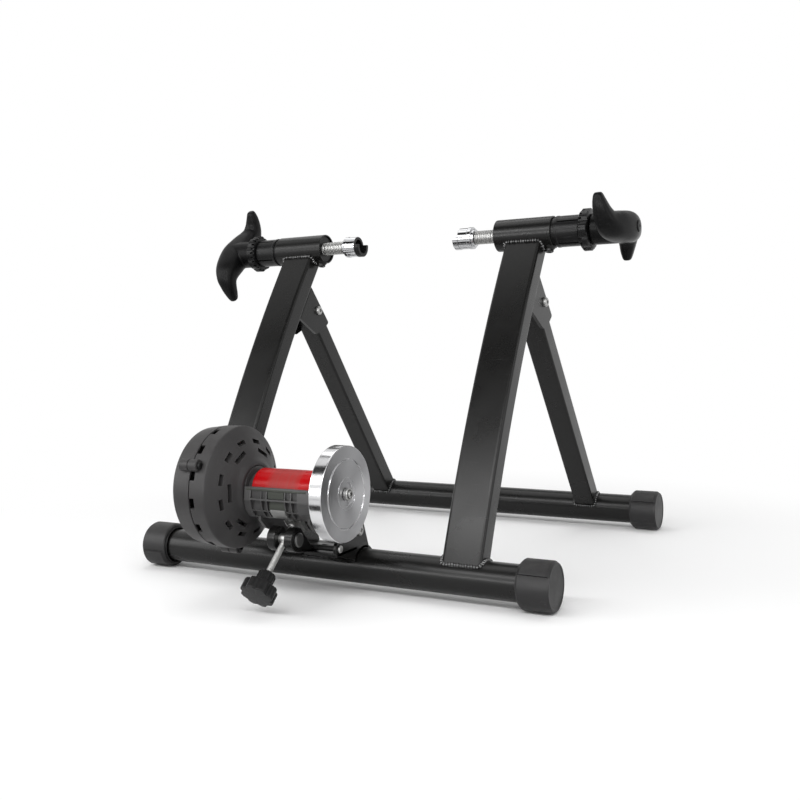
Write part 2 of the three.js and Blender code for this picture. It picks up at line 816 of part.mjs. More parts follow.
function unitBracketGeometry() {
  const seat = tubeRadius + saddleWall;
  const saddleOutline = arcPoints(seat, saddleRearAngle, saddleFrontAngle, saddleSteps)
    .concat(arcPoints(tubeRadius + gap, saddleFrontAngle, saddleRearAngle, saddleSteps));
  const saddle = slab(saddleOutline, -unitBracketLeft, unitBracketRight);
  const leftCheek = slab(cheekOutline(), -unitBracketLeft, bracketSheet - unitBracketLeft);
  const rightCheek = slab(cheekOutline(), unitBracketRight - bracketSheet, unitBracketRight);

  const trayTop = bracketBoltRise - bracketBoltRadius - runningGap;
  const trayFront = -bracketBoltAhead - 2 * bracketBoltRadius;
  const tray = block(
    [-unitBracketLeft, trayFront, trayTop - bracketSheet],
    [unitBracketRight, -tubeRadius * Math.cos(saddleRearAngle), trayTop],
  );
  const ribs = [];
  const ribFirst = screwPlane + earSpacing / 2 + earThickness;
  const ribPitch = (unitBracketRight - bracketSheet - ribFirst) / (bracketRibCount + 1);
  for (let i = 1; i <= bracketRibCount; i += 1) {
    const x = ribFirst + i * ribPitch;
    const ribOutline = [
      [trayFront, trayTop - bracketSheet],
      [-tubeRadius, -tubeRadius / 4],
      [-tubeRadius, trayTop],
    ];
    ribs.push(slab(ribOutline, x, x + bracketRibThickness));
  }

  const ears = [];
  for (const side of [-1, 1]) {
    const near = screwPlane + (side * earSpacing) / 2;
    const far = near + side * earThickness;
    const from = Math.min(near, far);
    const to = Math.max(near, far);
    ears.push(rod(from, to, earRadius, mediumSteps).translate(0, -crossNutAhead, crossNutRise));
    const neckOutline = [
      [-crossNutAhead, crossNutRise - earRadius],
      [-tubeRadius, trayTop - 2 * bracketSheet],
      [-tubeRadius, trayTop],
      [-bracketBoltAhead, trayTop],
      [-crossNutAhead + earRadius, crossNutRise],
      [-crossNutAhead, crossNutRise],
    ];
    ears.push(slab(neckOutline, from, to));
  }
  const nearHalf = earSpacing / 2;
  const slot = block(
    [screwPlane - nearHalf, trayFront - overrun, -seat],
    [screwPlane + nearHalf, -seat - 2 * bracketSheet, seat + crossNutRise],
  );
  const clearTube = rod(-overallWidth, overallWidth, tubeRadius + gap, tubeSteps);
  const pinHole = rod(-overallWidth, overallWidth, hingePinRadius + gap, smallSteps)
    .translate(0, -unitHingeAhead, unitHingeRise);
  const boltHole = rod(-overallWidth, overallWidth, bracketBoltRadius + gap, tinySteps)
    .translate(0, -bracketBoltAhead, bracketBoltRise);
  const nutHole = rod(-overallWidth, overallWidth, crossNutRadius + gap, smallSteps)
    .translate(0, -crossNutAhead, crossNutRise);
  return cut(
    join(saddle, leftCheek, rightCheek, tray, ...ribs, ...ears),
    slot,
    clearTube,
    pinHole,
    boltHole,
    nutHole,
  );
}

function headedPin(start, end, radius, headRadius, headLength, steps) {
  return turned([
    [start, 0],
    [start, radius],
    [end, radius],
    [end, headRadius],
    [end + headLength, headRadius],
    [end + headLength, 0],
  ], steps);
}

function crossNutGeometry() {
  const half = earSpacing / 2 + earThickness + gap;
  const body = turned([
    [-half - crossNutEndLength, 0],
    [-half - crossNutEndLength, crossNutEndRadius],
    [-half, crossNutEndRadius],
    [-half, crossNutRadius],
    [half, crossNutRadius],
    [half, crossNutEndRadius],
    [half + crossNutEndLength, crossNutEndRadius],
    [half + crossNutEndLength, 0],
  ], smallSteps);
  const hole = new THREE.CylinderGeometry(rodRadius + gap, rodRadius + gap, 4 * crossNutRadius, smallSteps);
  return cut(body, hole.rotateX(screwAngle));
}

function bracketAssembly() {
  const group = placed(new THREE.Group(), wheelPlane, 0, tubeHeight);
  const boltEnd = unitBracketLeft + gap + bracketBoltHeadLength;
  const bolt = headedPin(
    -boltEnd,
    unitBracketRight + gap,
    bracketBoltRadius,
    bracketBoltHeadRadius,
    bracketBoltHeadLength,
    tinySteps,
  );
  group.add(
    named('unit_bracket', unitBracketGeometry(), glossPaint),
    placed(named('bracket_bolt', bolt, zincSteel), 0, -bracketBoltAhead, bracketBoltRise),
    placed(named('cross_nut', crossNutGeometry(), zincSteel), screwPlane, -crossNutAhead, crossNutRise),
  );
  return group;
}

// Resistance unit, drawn round the roller's axis

function cradleArm(start, end) {
  const boss = arcPoints(hingeBossRadius, -turn / 3, turn / 6, tinySteps)
    .map(([y, z]) => [y + unitHingeBehindRoller, z - unitHingeBelowRoller]);
  const web = cradleArmShares.map(([y, z]) => [y * cradleRadius, z * cradleRadius]);
  return slab([...boss, ...web], start, end);
}

function cradleGeometry() {
  const outline = cradleOutlineShares.map(([y, z]) => [y * cradleRadius, z * cradleRadius]);
  const body = slab(outline, -cradleHalfWidth, cradleHalfWidth);
  const bosses = [
    rod(-cradleHalfWidth - shellSpigotLength, -cradleHalfWidth, shellSpigotRadius, mediumSteps),
    rod(-cradleHalfWidth, -cradleWallInner, bearingBossRadius, mediumSteps),
    rod(cradleWallInner, cradleHalfWidth, bearingBossRadius, mediumSteps),
  ];
  const arms = [
    cradleArm(-unitArmInset - unitArmThickness, -unitArmInset),
    cradleArm(unitArmInset, unitArmInset + unitArmThickness),
  ];
  const trough = rod(-cradleWallInner, cradleWallInner, rollerRadius + cradleTroughGap, tubeSteps);
  const pockets = [];
  const frontFace = cradleRadius * cradleOutlineShares[2][0];
  for (const [from, width] of pocketColumnShares) {
    for (const [top, height] of pocketRowShares) {
      pockets.push(block(
        [from * cradleHalfWidth, frontFace - overrun, (top - height) * cradleRadius],
        [(from + width) * cradleHalfWidth, frontFace + pocketDepth, top * cradleRadius - cradleRib],
      ));
    }
  }
  const shaftHole = rod(-2 * cradleHalfWidth, 2 * cradleHalfWidth, shaftRadius + runningGap, smallSteps);
  const leftSeat = rod(-cradleHalfWidth, overrun - cradleWallInner, bearingRadius + gap, mediumSteps);
  const seatRadius = bearingRadius + gap;
  const rightSeat = rod(cradleWallInner - overrun, cradleHalfWidth + overrun, seatRadius, mediumSteps);
  const pinHole = rod(-2 * cradleHalfWidth, 2 * cradleHalfWidth, hingePinRadius + gap, smallSteps)
    .translate(0, unitHingeBehindRoller, -unitHingeBelowRoller);
  return cut(join(body, ...bosses, ...arms), trough, shaftHole, leftSeat, rightSeat, pinHole, ...pockets);
}

// Slots through a round wall, each cut by a block set out at its angle
function ringOfSlots(count, firstShare, from, to, inner, outer, width) {
  const slots = [];
  for (let i = 0; i < count; i += 1) {
    const slot = block([from, -width / 2, inner], [to, width / 2, outer]);
    slots.push(slot.rotateX(((i + firstShare) / count) * turn));
  }
  return slots;
}

function shellBosses(start, end, radius) {
  const bosses = [];
  for (let i = 0; i < shellScrewCount; i += 1) {
    const angle = shellScrewAngle + (i / shellScrewCount) * turn;
    const y = shellScrewCircle * Math.cos(angle);
    const z = shellScrewCircle * Math.sin(angle);
    bosses.push(rod(start, end, radius, tinySteps).translate(0, y, z));
  }
  return bosses;
}

function innerShellGeometry() {
  const rim = -housingSplit + splitGap / 2;
  const shell = turned([
    [rim, housingRimRadius - shellWall],
    [rim, housingRimRadius],
    [-housingShoulder, housingRimRadius],
    [-cradleHalfWidth - gap - shellWall, domeFlatRadius],
    [-cradleHalfWidth - gap, domeFlatRadius - shellWall],
    [-cradleHalfWidth - gap, shellSpigotRadius + gap],
    [-cradleHalfWidth - gap - shellWall, shellSpigotRadius + gap],
    [-cradleHalfWidth - gap - 2 * shellWall, domeFlatRadius - shellWall],
    [-housingShoulder - shellWall, housingRimRadius - shellWall],
    [rim, housingRimRadius - shellWall],
  ], tubeSteps);
  const bosses = shellBosses(rim, rim + shellBossLength, shellBossRadius);
  const inside = rod(rim - overrun, rim + shellBossLength + gap, housingRimRadius - shellWall, tubeSteps);
  const screwHoles = shellBosses(rim - overrun, rim + shellBossLength + overrun, shellScrewRadius + gap);
  const domeStart = -housingShoulder - 2 * shellWall;
  const domeEnd = -cradleHalfWidth + overrun;
  const outerRing = outerVentRingShare * housingRimRadius;
  const innerRing = innerVentRingShare * housingRimRadius;
  const outerSlots = ringOfSlots(
    domeOuterVents, 0, domeStart, domeEnd, outerRing, outerRing + domeVentWidth, domeOuterVentLength,
  );
  const innerSlots = ringOfSlots(
    domeInnerVents, 0.5, domeStart, domeEnd, innerRing, innerRing + domeVentWidth, domeInnerVentLength,
  );
  const rimFrom = rim + shellWall;
  const rimSlots = ringOfSlots(
    rimVentCount, 0.5, rimFrom, rimFrom + rimVentWidth,
    housingRimRadius - 2 * shellWall, housingRimRadius + overrun, rimVentLength,
  );
  const headRoom = shellBosses(rim + shellBossLength, rim + 2 * shellBossLength, shellScrewHeadRadius + gap);
  const plain = cut(join(shell, ...bosses.map((boss) => cut(boss, inside))), ...screwHoles, ...headRoom);
  return cut(plain, ...outerSlots, ...innerSlots, ...rimSlots);
}

function outerShellGeometry() {
  const rim = -housingSplit - splitGap / 2;
  const back = -housingBack;
  const postRadius = magnetPlateBore;
  const shell = turned([
    [back, 0],
    [back, housingBackRadius - shellWall],
    [back + shellWall, housingBackRadius],
    [rim, housingRimRadius],
    [rim, housingRimRadius - shellWall],
    [back + shellWall, housingBackRadius - shellWall],
    [back + shellWall, postRadius + shellWall],
    [-magnetPlateBack - gap, postRadius + shellWall],
    [-magnetPlateBack - gap, postRadius - gap],
    [-magnetPlateStart, postRadius - gap],
    [-magnetPlateStart, 0],
  ], tubeSteps);
  const bosses = shellBosses(rim - shellBossLength, rim, shellBossRadius);
  const inside = rod(back + shellWall, rim + overrun, housingBackRadius - shellWall, tubeSteps);
  const screwHoles = shellBosses(rim - shellBossLength + shellWall, rim + overrun, shellScrewRadius + gap);
  const rimSlots = ringOfSlots(
    rimVentCount, 0.5, rim - shellWall - rimVentWidth, rim - shellWall,
    housingRimRadius - 2 * shellWall, housingRimRadius + overrun, rimVentLength,
  );
  return cut(join(shell, ...bosses.map((boss) => cut(boss, inside))), ...screwHoles, ...rimSlots);
}

function shellScrewGeometry() {
  const head = -housingSplit + splitGap / 2 + shellBossLength + gap;
  const tip = -housingSplit - shellBossLength + 2 * shellWall;
  return headedPin(tip, head, shellScrewRadius, shellScrewHeadRadius, shellScrewHeadLength, tinySteps);
}

function magnetPlateGeometry() {
  return pipe(-magnetPlateBack, -magnetPlateStart, magnetPlateRadius, magnetPlateBore, mediumSteps);
}

function rotorGeometry() {
  const bore = shaftRadius + gap;
  return turned([
    [-rotorBack, bore],
    [-rotorBack, rotorRadius],
    [-rotorInset, rotorRadius],
    [-rotorInset, rotorHubRadius],
    [-rotorInset + rotorHubLength, rotorHubRadius],
    [-rotorInset + rotorHubLength, bore],
    [-rotorBack, bore],
  ], mediumSteps);
}

function flywheelGeometry() {
  const bore = shaftRadius + gap;
  const groove = flywheelRadius * grooveRadiusShare;
  return turned([
    [flywheelBack, bore],
    [flywheelBack, flywheelRadius],
    [flywheelFace, flywheelRadius],
    [flywheelFace, groove + grooveWidth / 2],
    [flywheelFace - grooveDepth, groove + grooveWidth / 2],
    [flywheelFace - grooveDepth, groove - grooveWidth / 2],
    [flywheelFace, groove - grooveWidth / 2],
    [flywheelFace, flywheelHubRadius],
    [flywheelFace - grooveDepth, flywheelHubRadius],
    [flywheelFace - grooveDepth, bore],
    [flywheelBack, bore],
  ], tubeSteps);
}

function shaftGeometry() {
  const shoulder = flywheelFace - grooveDepth - gap;
  return turned([
    [-rotorBack - runningGap, 0],
    [-rotorBack - runningGap, shaftRadius],
    [shoulder, shaftRadius],
    [shoulder, shaftEndRadius],
    [shoulder + shaftEndLength, shaftEndRadius],
    [shoulder + shaftEndLength, 0],
  ], smallSteps);
}

// The strip under the cradle that the screw's ball pushes on, square to the screw
function pressureClipGeometry() {
  const half = clipWidth / 2;
  const up = clipUpShare * clipWidth;
  const down = clipDownShare * clipWidth;
  const near = ballPlateInset;
  return block([-half, near, -down], [half, near + clipThickness, up]);
}

function rollerTrain() {
  const group = new THREE.Group();
  const nutStart = flywheelFace - grooveDepth + gap;
  const nutEnd = nutStart + flywheelNutLength;
  const nut = pipe(nutStart, nutEnd, flywheelNutRadius, shaftEndRadius + gap, smallSteps);
  const sleeve = pipe(-rollerHalfLength, rollerHalfLength, rollerRadius, shaftRadius + gap, tubeSteps);
  group.add(
    named('roller_shaft', shaftGeometry(), zincSteel),
    named('roller_sleeve', sleeve, redUrethane),
    named('flywheel', flywheelGeometry(), turnedSteel),
    named('flywheel_nut', nut, zincSteel),
    named('rotor_disc', rotorGeometry(), aluminium),
  );
  return group;
}

function brake() {
  const group = new THREE.Group();
  group.add(
    named('inner_magnet_shell', innerShellGeometry(), charcoalPlastic),
    named('outer_magnet_shell', outerShellGeometry(), charcoalPlastic),
    named('magnet_plate', magnetPlateGeometry(), zincSteel),
  );
  for (let i = 0; i < shellScrewCount; i += 1) {
    const angle = shellScrewAngle + (i / shellScrewCount) * turn;
    const screw = named(`shell_screw_${i + 1}`, shellScrewGeometry(), zincSteel);
    group.add(placed(screw, 0, shellScrewCircle * Math.cos(angle), shellScrewCircle * Math.sin(angle)));
  }
  for (let i = 0; i < magnetCount; i += 1) {
    const angle = (i / magnetCount) * turn;
    const disc = rod(-magnetStart - magnetThickness, -magnetStart, magnetRadius, smallSteps);
    const magnet = named(`magnet_${i + 1}`, disc, ferrite);
    group.add(placed(magnet, 0, magnetCircleRadius * Math.cos(angle), magnetCircleRadius * Math.sin(angle)));
  }
  return group;
}

function resistanceUnit() {
  const group = placed(new THREE.Group(), wheelPlane, -rollerAhead, rollerHeight);
  const bearing = pipe(0, bearingLength - gap, bearingRadius, shaftRadius + gap, mediumSteps);
  group.add(
    named('roller_cradle', cradleGeometry(), mattePlastic),
    placed(named('left_bearing', bearing, zincSteel), gap - cradleHalfWidth, 0, 0),
    placed(named('right_bearing', bearing, zincSteel), cradleWallInner, 0, 0),
    brake(),
    rollerTrain(),
  );
  const pinStart = -unitArmInset - unitArmThickness - gap - nutLength - boltEndLength;
  const pin = headedPin(
    pinStart,
    unitBracketRight + gap,
    hingePinRadius,
    boltHeadRadius,
    boltHeadLength / 2,
    smallSteps,
  );
  const nut = hexNut(nutRadius, nutLength, hingePinRadius + gap);
  const nutPlace = -unitArmInset - unitArmThickness - gap;
  group.add(
    placed(named('unit_hinge_pin', pin, zincSteel), 0, unitHingeBehindRoller, -unitHingeBelowRoller),
    placed(named('unit_hinge_nut', nut, zincSteel), nutPlace, unitHingeBehindRoller, -unitHingeBelowRoller),
  );
  return group;
}

// Adjusting screw, drawn with +Y up along the rod from the cross nut's centre

function upright(profile, steps) {
  return new THREE.LatheGeometry(profile.map(([y, radius]) => new THREE.Vector2(radius, y)), steps);
}

function ballTipGeometry() {
  const centre = ballPlateInset - gap - ballRadius;
  const seat = rodReach - ballSocketRadius;
  const socket = rodRadius - runningGap + gap;
  const profile = [[seat, socket], [seat, rodRadius + runningGap]];
  const start = Math.asin((rodRadius + runningGap) / ballRadius) - turn / 4;
  for (let i = 0; i <= tinySteps / 2; i += 1) {
    const angle = start + ((turn / 4 - start) * 2 * i) / tinySteps;
    profile.push([centre + ballRadius * Math.sin(angle), ballRadius * Math.cos(angle)]);
  }
  profile.push([rodReach + gap, 0], [rodReach + gap, socket], [seat, socket]);
  return upright(profile, smallSteps);
}

function adjustingRodGeometry() {
  const base = -knobStart - knobSocketDepth + gap;
  const neck = rodRadius - runningGap;
  const seat = rodReach - ballSocketRadius - gap;
  return upright([
    [base, 0],
    [base, rodRadius],
    [seat, rodRadius],
    [seat, neck],
    [rodReach, neck],
    [rodReach, 0],
  ], smallSteps);
}

function starKnobGeometry() {
  const hubEnd = -knobStart - knobHubLength;
  const hubProfile = [[hubEnd, 0], [hubEnd, knobHubRadius], [-knobStart, knobHubRadius], [-knobStart, 0]];
  const hub = upright(hubProfile, mediumSteps);
  const outline = lobedOutline(knobRadius, knobLobeDepth, knobLobes);
  const grip = slab(outline, hubEnd - knobGripLength, hubEnd).rotateZ(turn / 4);
  const socket = upright([
    [-knobStart - knobSocketDepth, 0],
    [-knobStart - knobSocketDepth, rodRadius + gap],
    [overrun - knobStart, rodRadius + gap],
    [overrun - knobStart, 0],
  ], smallSteps);
  return cut(join(grip, hub), socket);
}

function adjuster() {
  const group = placed(new THREE.Group(), screwPlane, -crossNutAhead, tubeHeight + crossNutRise);
  group.rotation.x = screwAngle;
  group.add(
    named('pressure_clip', pressureClipGeometry(), zincSteel),
    named('ball_tip', ballTipGeometry(), zincSteel),
    named('adjusting_rod', adjustingRodGeometry(), zincSteel),
    named('star_knob', starKnobGeometry(), mattePlastic),
  );
  return group;
}

// The whole trainer, stood over the centre of its footprint

function frontFrame() {
  const group = new THREE.Group();
  group.add(
    placed(floorTube('front_base_tube'), 0, 0, tubeHeight),
    placed(feet('front', frontLeftFootTurn), 0, 0, tubeHeight),
    uprightAssembly('left', -1),
    uprightAssembly('right', 1),
    bracketAssembly(),
  );
  return group;
}

function rearFrame() {
  const group = new THREE.Group();
  group.add(
    placed(floorTube('rear_base_tube'), 0, tubeSpacing, tubeHeight),
    placed(feet('rear', 0), 0, tubeSpacing, tubeHeight),
    rearLeg('left', -1),
    rearLeg('right', 1),
  );
  return group;
}

const leftLug = { place: housingStart + lugInset, angle: leftLugAngle };
const rightLug = { place: housingEnd - lugInset, angle: rightLugAngle };

const trainer = new THREE.Group();
trainer.add(
  frontFrame(),
  rearFrame(),
  clampAssembly('left', -1, leftLug, leftHandleAngle),
  clampAssembly('right', 1, rightLug, rightHandleAngle),
  resistanceUnit(),
  adjuster(),
);
const footprint = new THREE.Box3().setFromObject(trainer, true);
const middle = footprint.getCenter(new THREE.Vector3());
trainer.position.set(-middle.x, -middle.y, -footprint.min.z);

export default trainer;
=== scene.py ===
import math

import bmesh
import bpy
from mathutils import Matrix, Vector


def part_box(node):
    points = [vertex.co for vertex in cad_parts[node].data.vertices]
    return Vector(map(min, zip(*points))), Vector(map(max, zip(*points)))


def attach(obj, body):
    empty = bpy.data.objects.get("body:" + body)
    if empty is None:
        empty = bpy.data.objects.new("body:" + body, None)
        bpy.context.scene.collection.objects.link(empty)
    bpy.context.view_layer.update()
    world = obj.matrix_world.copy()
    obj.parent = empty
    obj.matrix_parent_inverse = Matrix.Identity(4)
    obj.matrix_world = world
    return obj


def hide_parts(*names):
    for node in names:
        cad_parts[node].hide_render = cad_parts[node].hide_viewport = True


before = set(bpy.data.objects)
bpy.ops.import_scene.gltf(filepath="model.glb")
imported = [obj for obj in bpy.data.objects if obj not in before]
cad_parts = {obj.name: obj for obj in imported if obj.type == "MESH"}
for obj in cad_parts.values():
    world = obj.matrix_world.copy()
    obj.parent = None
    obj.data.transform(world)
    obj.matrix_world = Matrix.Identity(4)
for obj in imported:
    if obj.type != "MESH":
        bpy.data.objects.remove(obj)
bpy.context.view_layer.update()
print("stage: frame loaded,", len(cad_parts), "nodes")

# All lengths in the dictionaries are millimetres, and meshes are written in metres
mm = 0.001
fullTurn = 2 * math.pi
mergeDistance = 1e-6
sharpDegrees = 35


# Places taken from the frame

def spanOf(node):
    low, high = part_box(node)
    return low / mm, high / mm


def middleOf(node):
    low, high = spanOf(node)
    return (low + high) / 2


def shift(x, y, z):
    return Matrix.Translation((x, y, z))


# A place on a line along X
def onAxis(axis, x=0):
    return shift(x, axis.y, axis.z)


def turned(degrees, axis="X"):
    return Matrix.Rotation(math.radians(degrees), 4, axis)


frontTube = middleOf("front_base_tube")
rearTube = middleOf("rear_base_tube")
clampAxis = middleOf("right_guide_sleeve")
pivotAxis = middleOf("right_pivot_bolt")
rollerAxis = middleOf("roller_sleeve")
hingeAxis = middleOf("unit_hinge_pin")
crossAxis = middleOf("cross_nut")
uprightPlace = middleOf("right_upright").x

sides = {"left": -1, "right": 1}


# Mesh helpers

def cleanMesh(piece):
    work = bmesh.new()
    work.from_mesh(piece.data)
    bmesh.ops.remove_doubles(work, verts=work.verts, dist=mergeDistance)
    bmesh.ops.dissolve_degenerate(work, edges=work.edges, dist=mergeDistance)
    bmesh.ops.recalc_face_normals(work, faces=work.faces)
    work.to_mesh(piece.data)
    work.free()


def linkPiece(name, mesh):
    piece = bpy.data.objects.new(name, mesh)
    bpy.context.scene.collection.objects.link(piece)
    return piece


def makePiece(name, points, faces, place=Matrix()):
    mesh = bpy.data.meshes.new(name)
    mesh.from_pydata([(place @ Vector(point)) * mm for point in points], [], faces)
    piece = linkPiece(name, mesh)
    cleanMesh(piece)
    return piece


# A skin over rings of points; joined closes the last ring to the first, capped closes both ends
def skinRings(name, rings, place=Matrix(), joined=False, capped=False):
    loop = len(rings[0])
    count = len(rings)
    faces = []
    for r in range(count if joined else count - 1):
        for i in range(loop):
            near, far = r * loop, ((r + 1) % count) * loop
            follow = (i + 1) % loop
            faces.append((near + i, near + follow, far + follow, far + i))
    if capped:
        faces.append(tuple(range(loop)))
        faces.append(tuple(range((count - 1) * loop, count * loop)))
    return makePiece(name, [point for ring in rings for point in ring], faces, place)


# Corners of a flat line of points rounded off; a line that ends where it starts is a loop
def rounded(points, radius, steps=3):
    joined = points[0] == points[-1]
    spots = [Vector((x, y)) for x, y in (points[:-1] if joined else points)]
    line = []
    for i, spot in enumerate(spots):
        if not joined and i in (0, len(spots) - 1):
            line.append(tuple(spot))
            continue
        before = spots[i - 1] - spot
        after = spots[(i + 1) % len(spots)] - spot
        reach = min(radius, 0.45 * before.length, 0.45 * after.length)
        start = spot + before.normalized() * reach
        end = spot + after.normalized() * reach
        for s in range(steps + 1):
            t = s / steps
            line.append(tuple(start * (1 - t) ** 2 + spot * 2 * t * (1 - t) + end * t ** 2))
    return line + [line[0]] if joined else line


# A profile of (along, radius) turned round X
def lathe(name, profile, place=Matrix(), steps=72):
    joined = profile[0] == profile[-1]
    rows = profile[:-1] if joined else profile
    angles = [fullTurn * i / steps for i in range(steps)]
    rings = [[(x, r * math.cos(a), r * math.sin(a)) for a in angles] for x, r in rows]
    return skinRings(name, rings, place, joined)


def bar(name, start, end, radius, place=Matrix(), steps=72):
    return lathe(name, [(start, 0), (start, radius), (end, radius), (end, 0)], place, steps)


# The profile of a tube, as a loop
def tubeProfile(start, end, bore, radius):
    return [(start, bore), (start, radius), (end, radius), (end, bore), (start, bore)]


# An outline of (angle, radius) carried through rows of (along, greatest radius, inset)
def polar(name, outline, rows, place=Matrix()):
    joined = rows[0] == rows[-1]
    rings = []
    for x, limit, inset in rows[:-1] if joined else rows:
        reaches = [(angle, max(min(reach - inset, limit), 0)) for angle, reach in outline]
        rings.append([(x, r * math.cos(angle), r * math.sin(angle)) for angle, r in reaches])
    return skinRings(name, rings, place, joined)


# An outline of (y, z) pushed along X
def prism(name, outline, start, end, place=Matrix()):
    return skinRings(name, [[(x, y, z) for y, z in outline] for x in (start, end)], place, capped=True)


def block(name, low, high, place=Matrix()):
    outline = [(low[1], low[2]), (high[1], low[2]), (high[1], high[2]), (low[1], high[2])]
    return prism(name, outline, low[0], high[0], place)


def arc(radius, start, end, steps, y=0, z=0):
    angles = [math.radians(start + (end - start) * i / steps) for i in range(steps + 1)]
    return [(y + radius * math.cos(a), z + radius * math.sin(a)) for a in angles]


# Modifiers are used up at once, so that every piece ends as a plain mesh
def bake(piece):
    graph = bpy.context.evaluated_depsgraph_get()
    fresh = bpy.data.meshes.new_from_object(piece.evaluated_get(graph), preserve_all_data_layers=True,
                                            depsgraph=graph)
    piece.modifiers.clear()
    worn = piece.data
    piece.data = fresh
    bpy.data.meshes.remove(worn)
    return piece


def combine(piece, tools, operation="DIFFERENCE"):
    for tool in tools:
        step = piece.modifiers.new(tool.name, "BOOLEAN")
        step.object = tool
        step.operation = operation
        step.solver = "EXACT"
    bake(piece)
    for tool in tools:
        bpy.data.objects.remove(tool)
    cleanMesh(piece)
    return piece


def soften(piece, width, segments=2, angle=32):
    step = piece.modifiers.new("soften", "BEVEL")
    step.width = width * mm
    step.segments = segments
    step.limit_method = "ANGLE"
    step.angle_limit = math.radians(angle)
    step.use_clamp_overlap = True
    return bake(piece)


def joinPieces(name, pieces):
    work = bmesh.new()
    for piece in pieces:
        work.from_mesh(piece.data)
        bpy.data.objects.remove(piece)
    mesh = bpy.data.meshes.new(name)
    work.to_mesh(mesh)
    work.free()
    return linkPiece(name, mesh)


# Moves a mesh in metres by a place in millimetres
def carry(piece, place):
    piece.data.transform(Matrix.Scale(mm, 4) @ place @ Matrix.Scale(1 / mm, 4))
    return piece


# Node helpers, for geometry and for materials

def feed(tree, socket, value):
    if hasattr(value, "is_output"):
        tree.links.new(value, socket)
    else:
        socket.default_value = value


def addNode(tree, kind, settings=None, **values):
    node = tree.nodes.new(kind)
    for key, value in (settings or {}).items():
        setattr(node, key, value)
    for key, value in values.items():
        feed(tree, node.inputs[key.replace("_", " ")], value)
    return node


def calculate(tree, operation, *values, kind="ShaderNodeMath"):
    node = addNode(tree, kind, {"operation": operation})
    for socket, value in zip(node.inputs, values):
        feed(tree, socket, value)
    return node.outputs["Value"]


# Inputs come with their first value, or with their kind of socket where they have none
def newTree(name, kind, inputs, outputs):
    tree = bpy.data.node_groups.new(name, kind)
    numbers = {int: "NodeSocketInt", float: "NodeSocketFloat"}
    for label, start in inputs.items():
        socket = tree.interface.new_socket(name=label, in_out="INPUT",
                                           socket_type=numbers.get(type(start), start))
        if type(start) in numbers:
            socket.default_value = start
    for label, socket in outputs.items():
        tree.interface.new_socket(name=label, in_out="OUTPUT", socket_type=socket)
    return tree, tree.nodes.new("NodeGroupInput").outputs, tree.nodes.new("NodeGroupOutput").inputs


# Every geometry tree takes a shape and a finish, and ends as real meshes in that finish
def geometryTree(name, inputs):
    inputs = {"Geometry": "NodeSocketGeometry", **inputs, "Finish": "NodeSocketMaterial"}
    return newTree(name, "GeometryNodeTree", inputs, {"Geometry": "NodeSocketGeometry"})


def endTree(tree, given, made, shape):
    solid = addNode(tree, "GeometryNodeRealizeInstances", Geometry=shape)
    painted = addNode(tree, "GeometryNodeSetMaterial", Geometry=solid.outputs[0],
                      Material=given["Finish"])
    tree.links.new(painted.outputs[0], made["Geometry"])
    return tree


beads = {"least": (0.8, 0.8, 0.5), "greatest": (1.2, 1.2, 0.8), "coreShare": 0.45, "coreSides": 8}


# A run of weld: a core along the path with overlapping beads of uneven size
def weldTree():
    tree, given, made = geometryTree("weldRun", {"Bead radius": 0.002, "Bead spacing": 0.002, "Seed": 1})
    path = addNode(tree, "GeometryNodeMeshToCurve", Mesh=given["Geometry"]).outputs[0]
    points = addNode(tree, "GeometryNodeResampleCurve", {"mode": "LENGTH"}, Curve=path,
                     Length=given["Bead spacing"])
    bead = addNode(tree, "GeometryNodeMeshIcoSphere", Radius=given["Bead radius"], Subdivisions=2)
    tangent = addNode(tree, "GeometryNodeInputTangent").outputs[0]
    facing = addNode(tree, "FunctionNodeAlignRotationToVector", {"axis": "Z"}, Vector=tangent)
    size = addNode(tree, "FunctionNodeRandomValue", {"data_type": "FLOAT_VECTOR"}, Seed=given["Seed"])
    size.inputs[0].default_value = beads["least"]
    size.inputs[1].default_value = beads["greatest"]
    run = addNode(tree, "GeometryNodeInstanceOnPoints", Points=points.outputs[0], Instance=bead.outputs[0],
                  Rotation=facing.outputs[0], Scale=size.outputs[0])
    ring = addNode(tree, "GeometryNodeCurvePrimitiveCircle", Resolution=beads["coreSides"],
                   Radius=calculate(tree, "MULTIPLY", given["Bead radius"], beads["coreShare"]))
    core = addNode(tree, "GeometryNodeCurveToMesh", Curve=path, Profile_Curve=ring.outputs[0])
    both = addNode(tree, "GeometryNodeJoinGeometry")
    tree.links.new(run.outputs[0], both.inputs[0])
    tree.links.new(core.outputs[0], both.inputs[0])
    return endTree(tree, given, made, both.outputs[0])


# A screw thread along Z: a ridge wound in a helix
def threadTree():
    tree, given, made = geometryTree("screwThread", {
        "Root radius": 0.0077, "Turns": 20.0, "Length": 0.05, "Ridge radius": 0.001})
    helix = addNode(tree, "GeometryNodeCurveSpiral", Resolution=24, Rotations=given["Turns"],
                    Start_Radius=given["Root radius"], End_Radius=given["Root radius"],
                    Height=given["Length"])
    ridge = addNode(tree, "GeometryNodeCurvePrimitiveCircle", Resolution=8, Radius=given["Ridge radius"])
    wound = addNode(tree, "GeometryNodeCurveToMesh", Curve=helix.outputs[0],
                    Profile_Curve=ridge.outputs[0], Fill_Caps=True)
    return endTree(tree, given, made, wound.outputs[0])


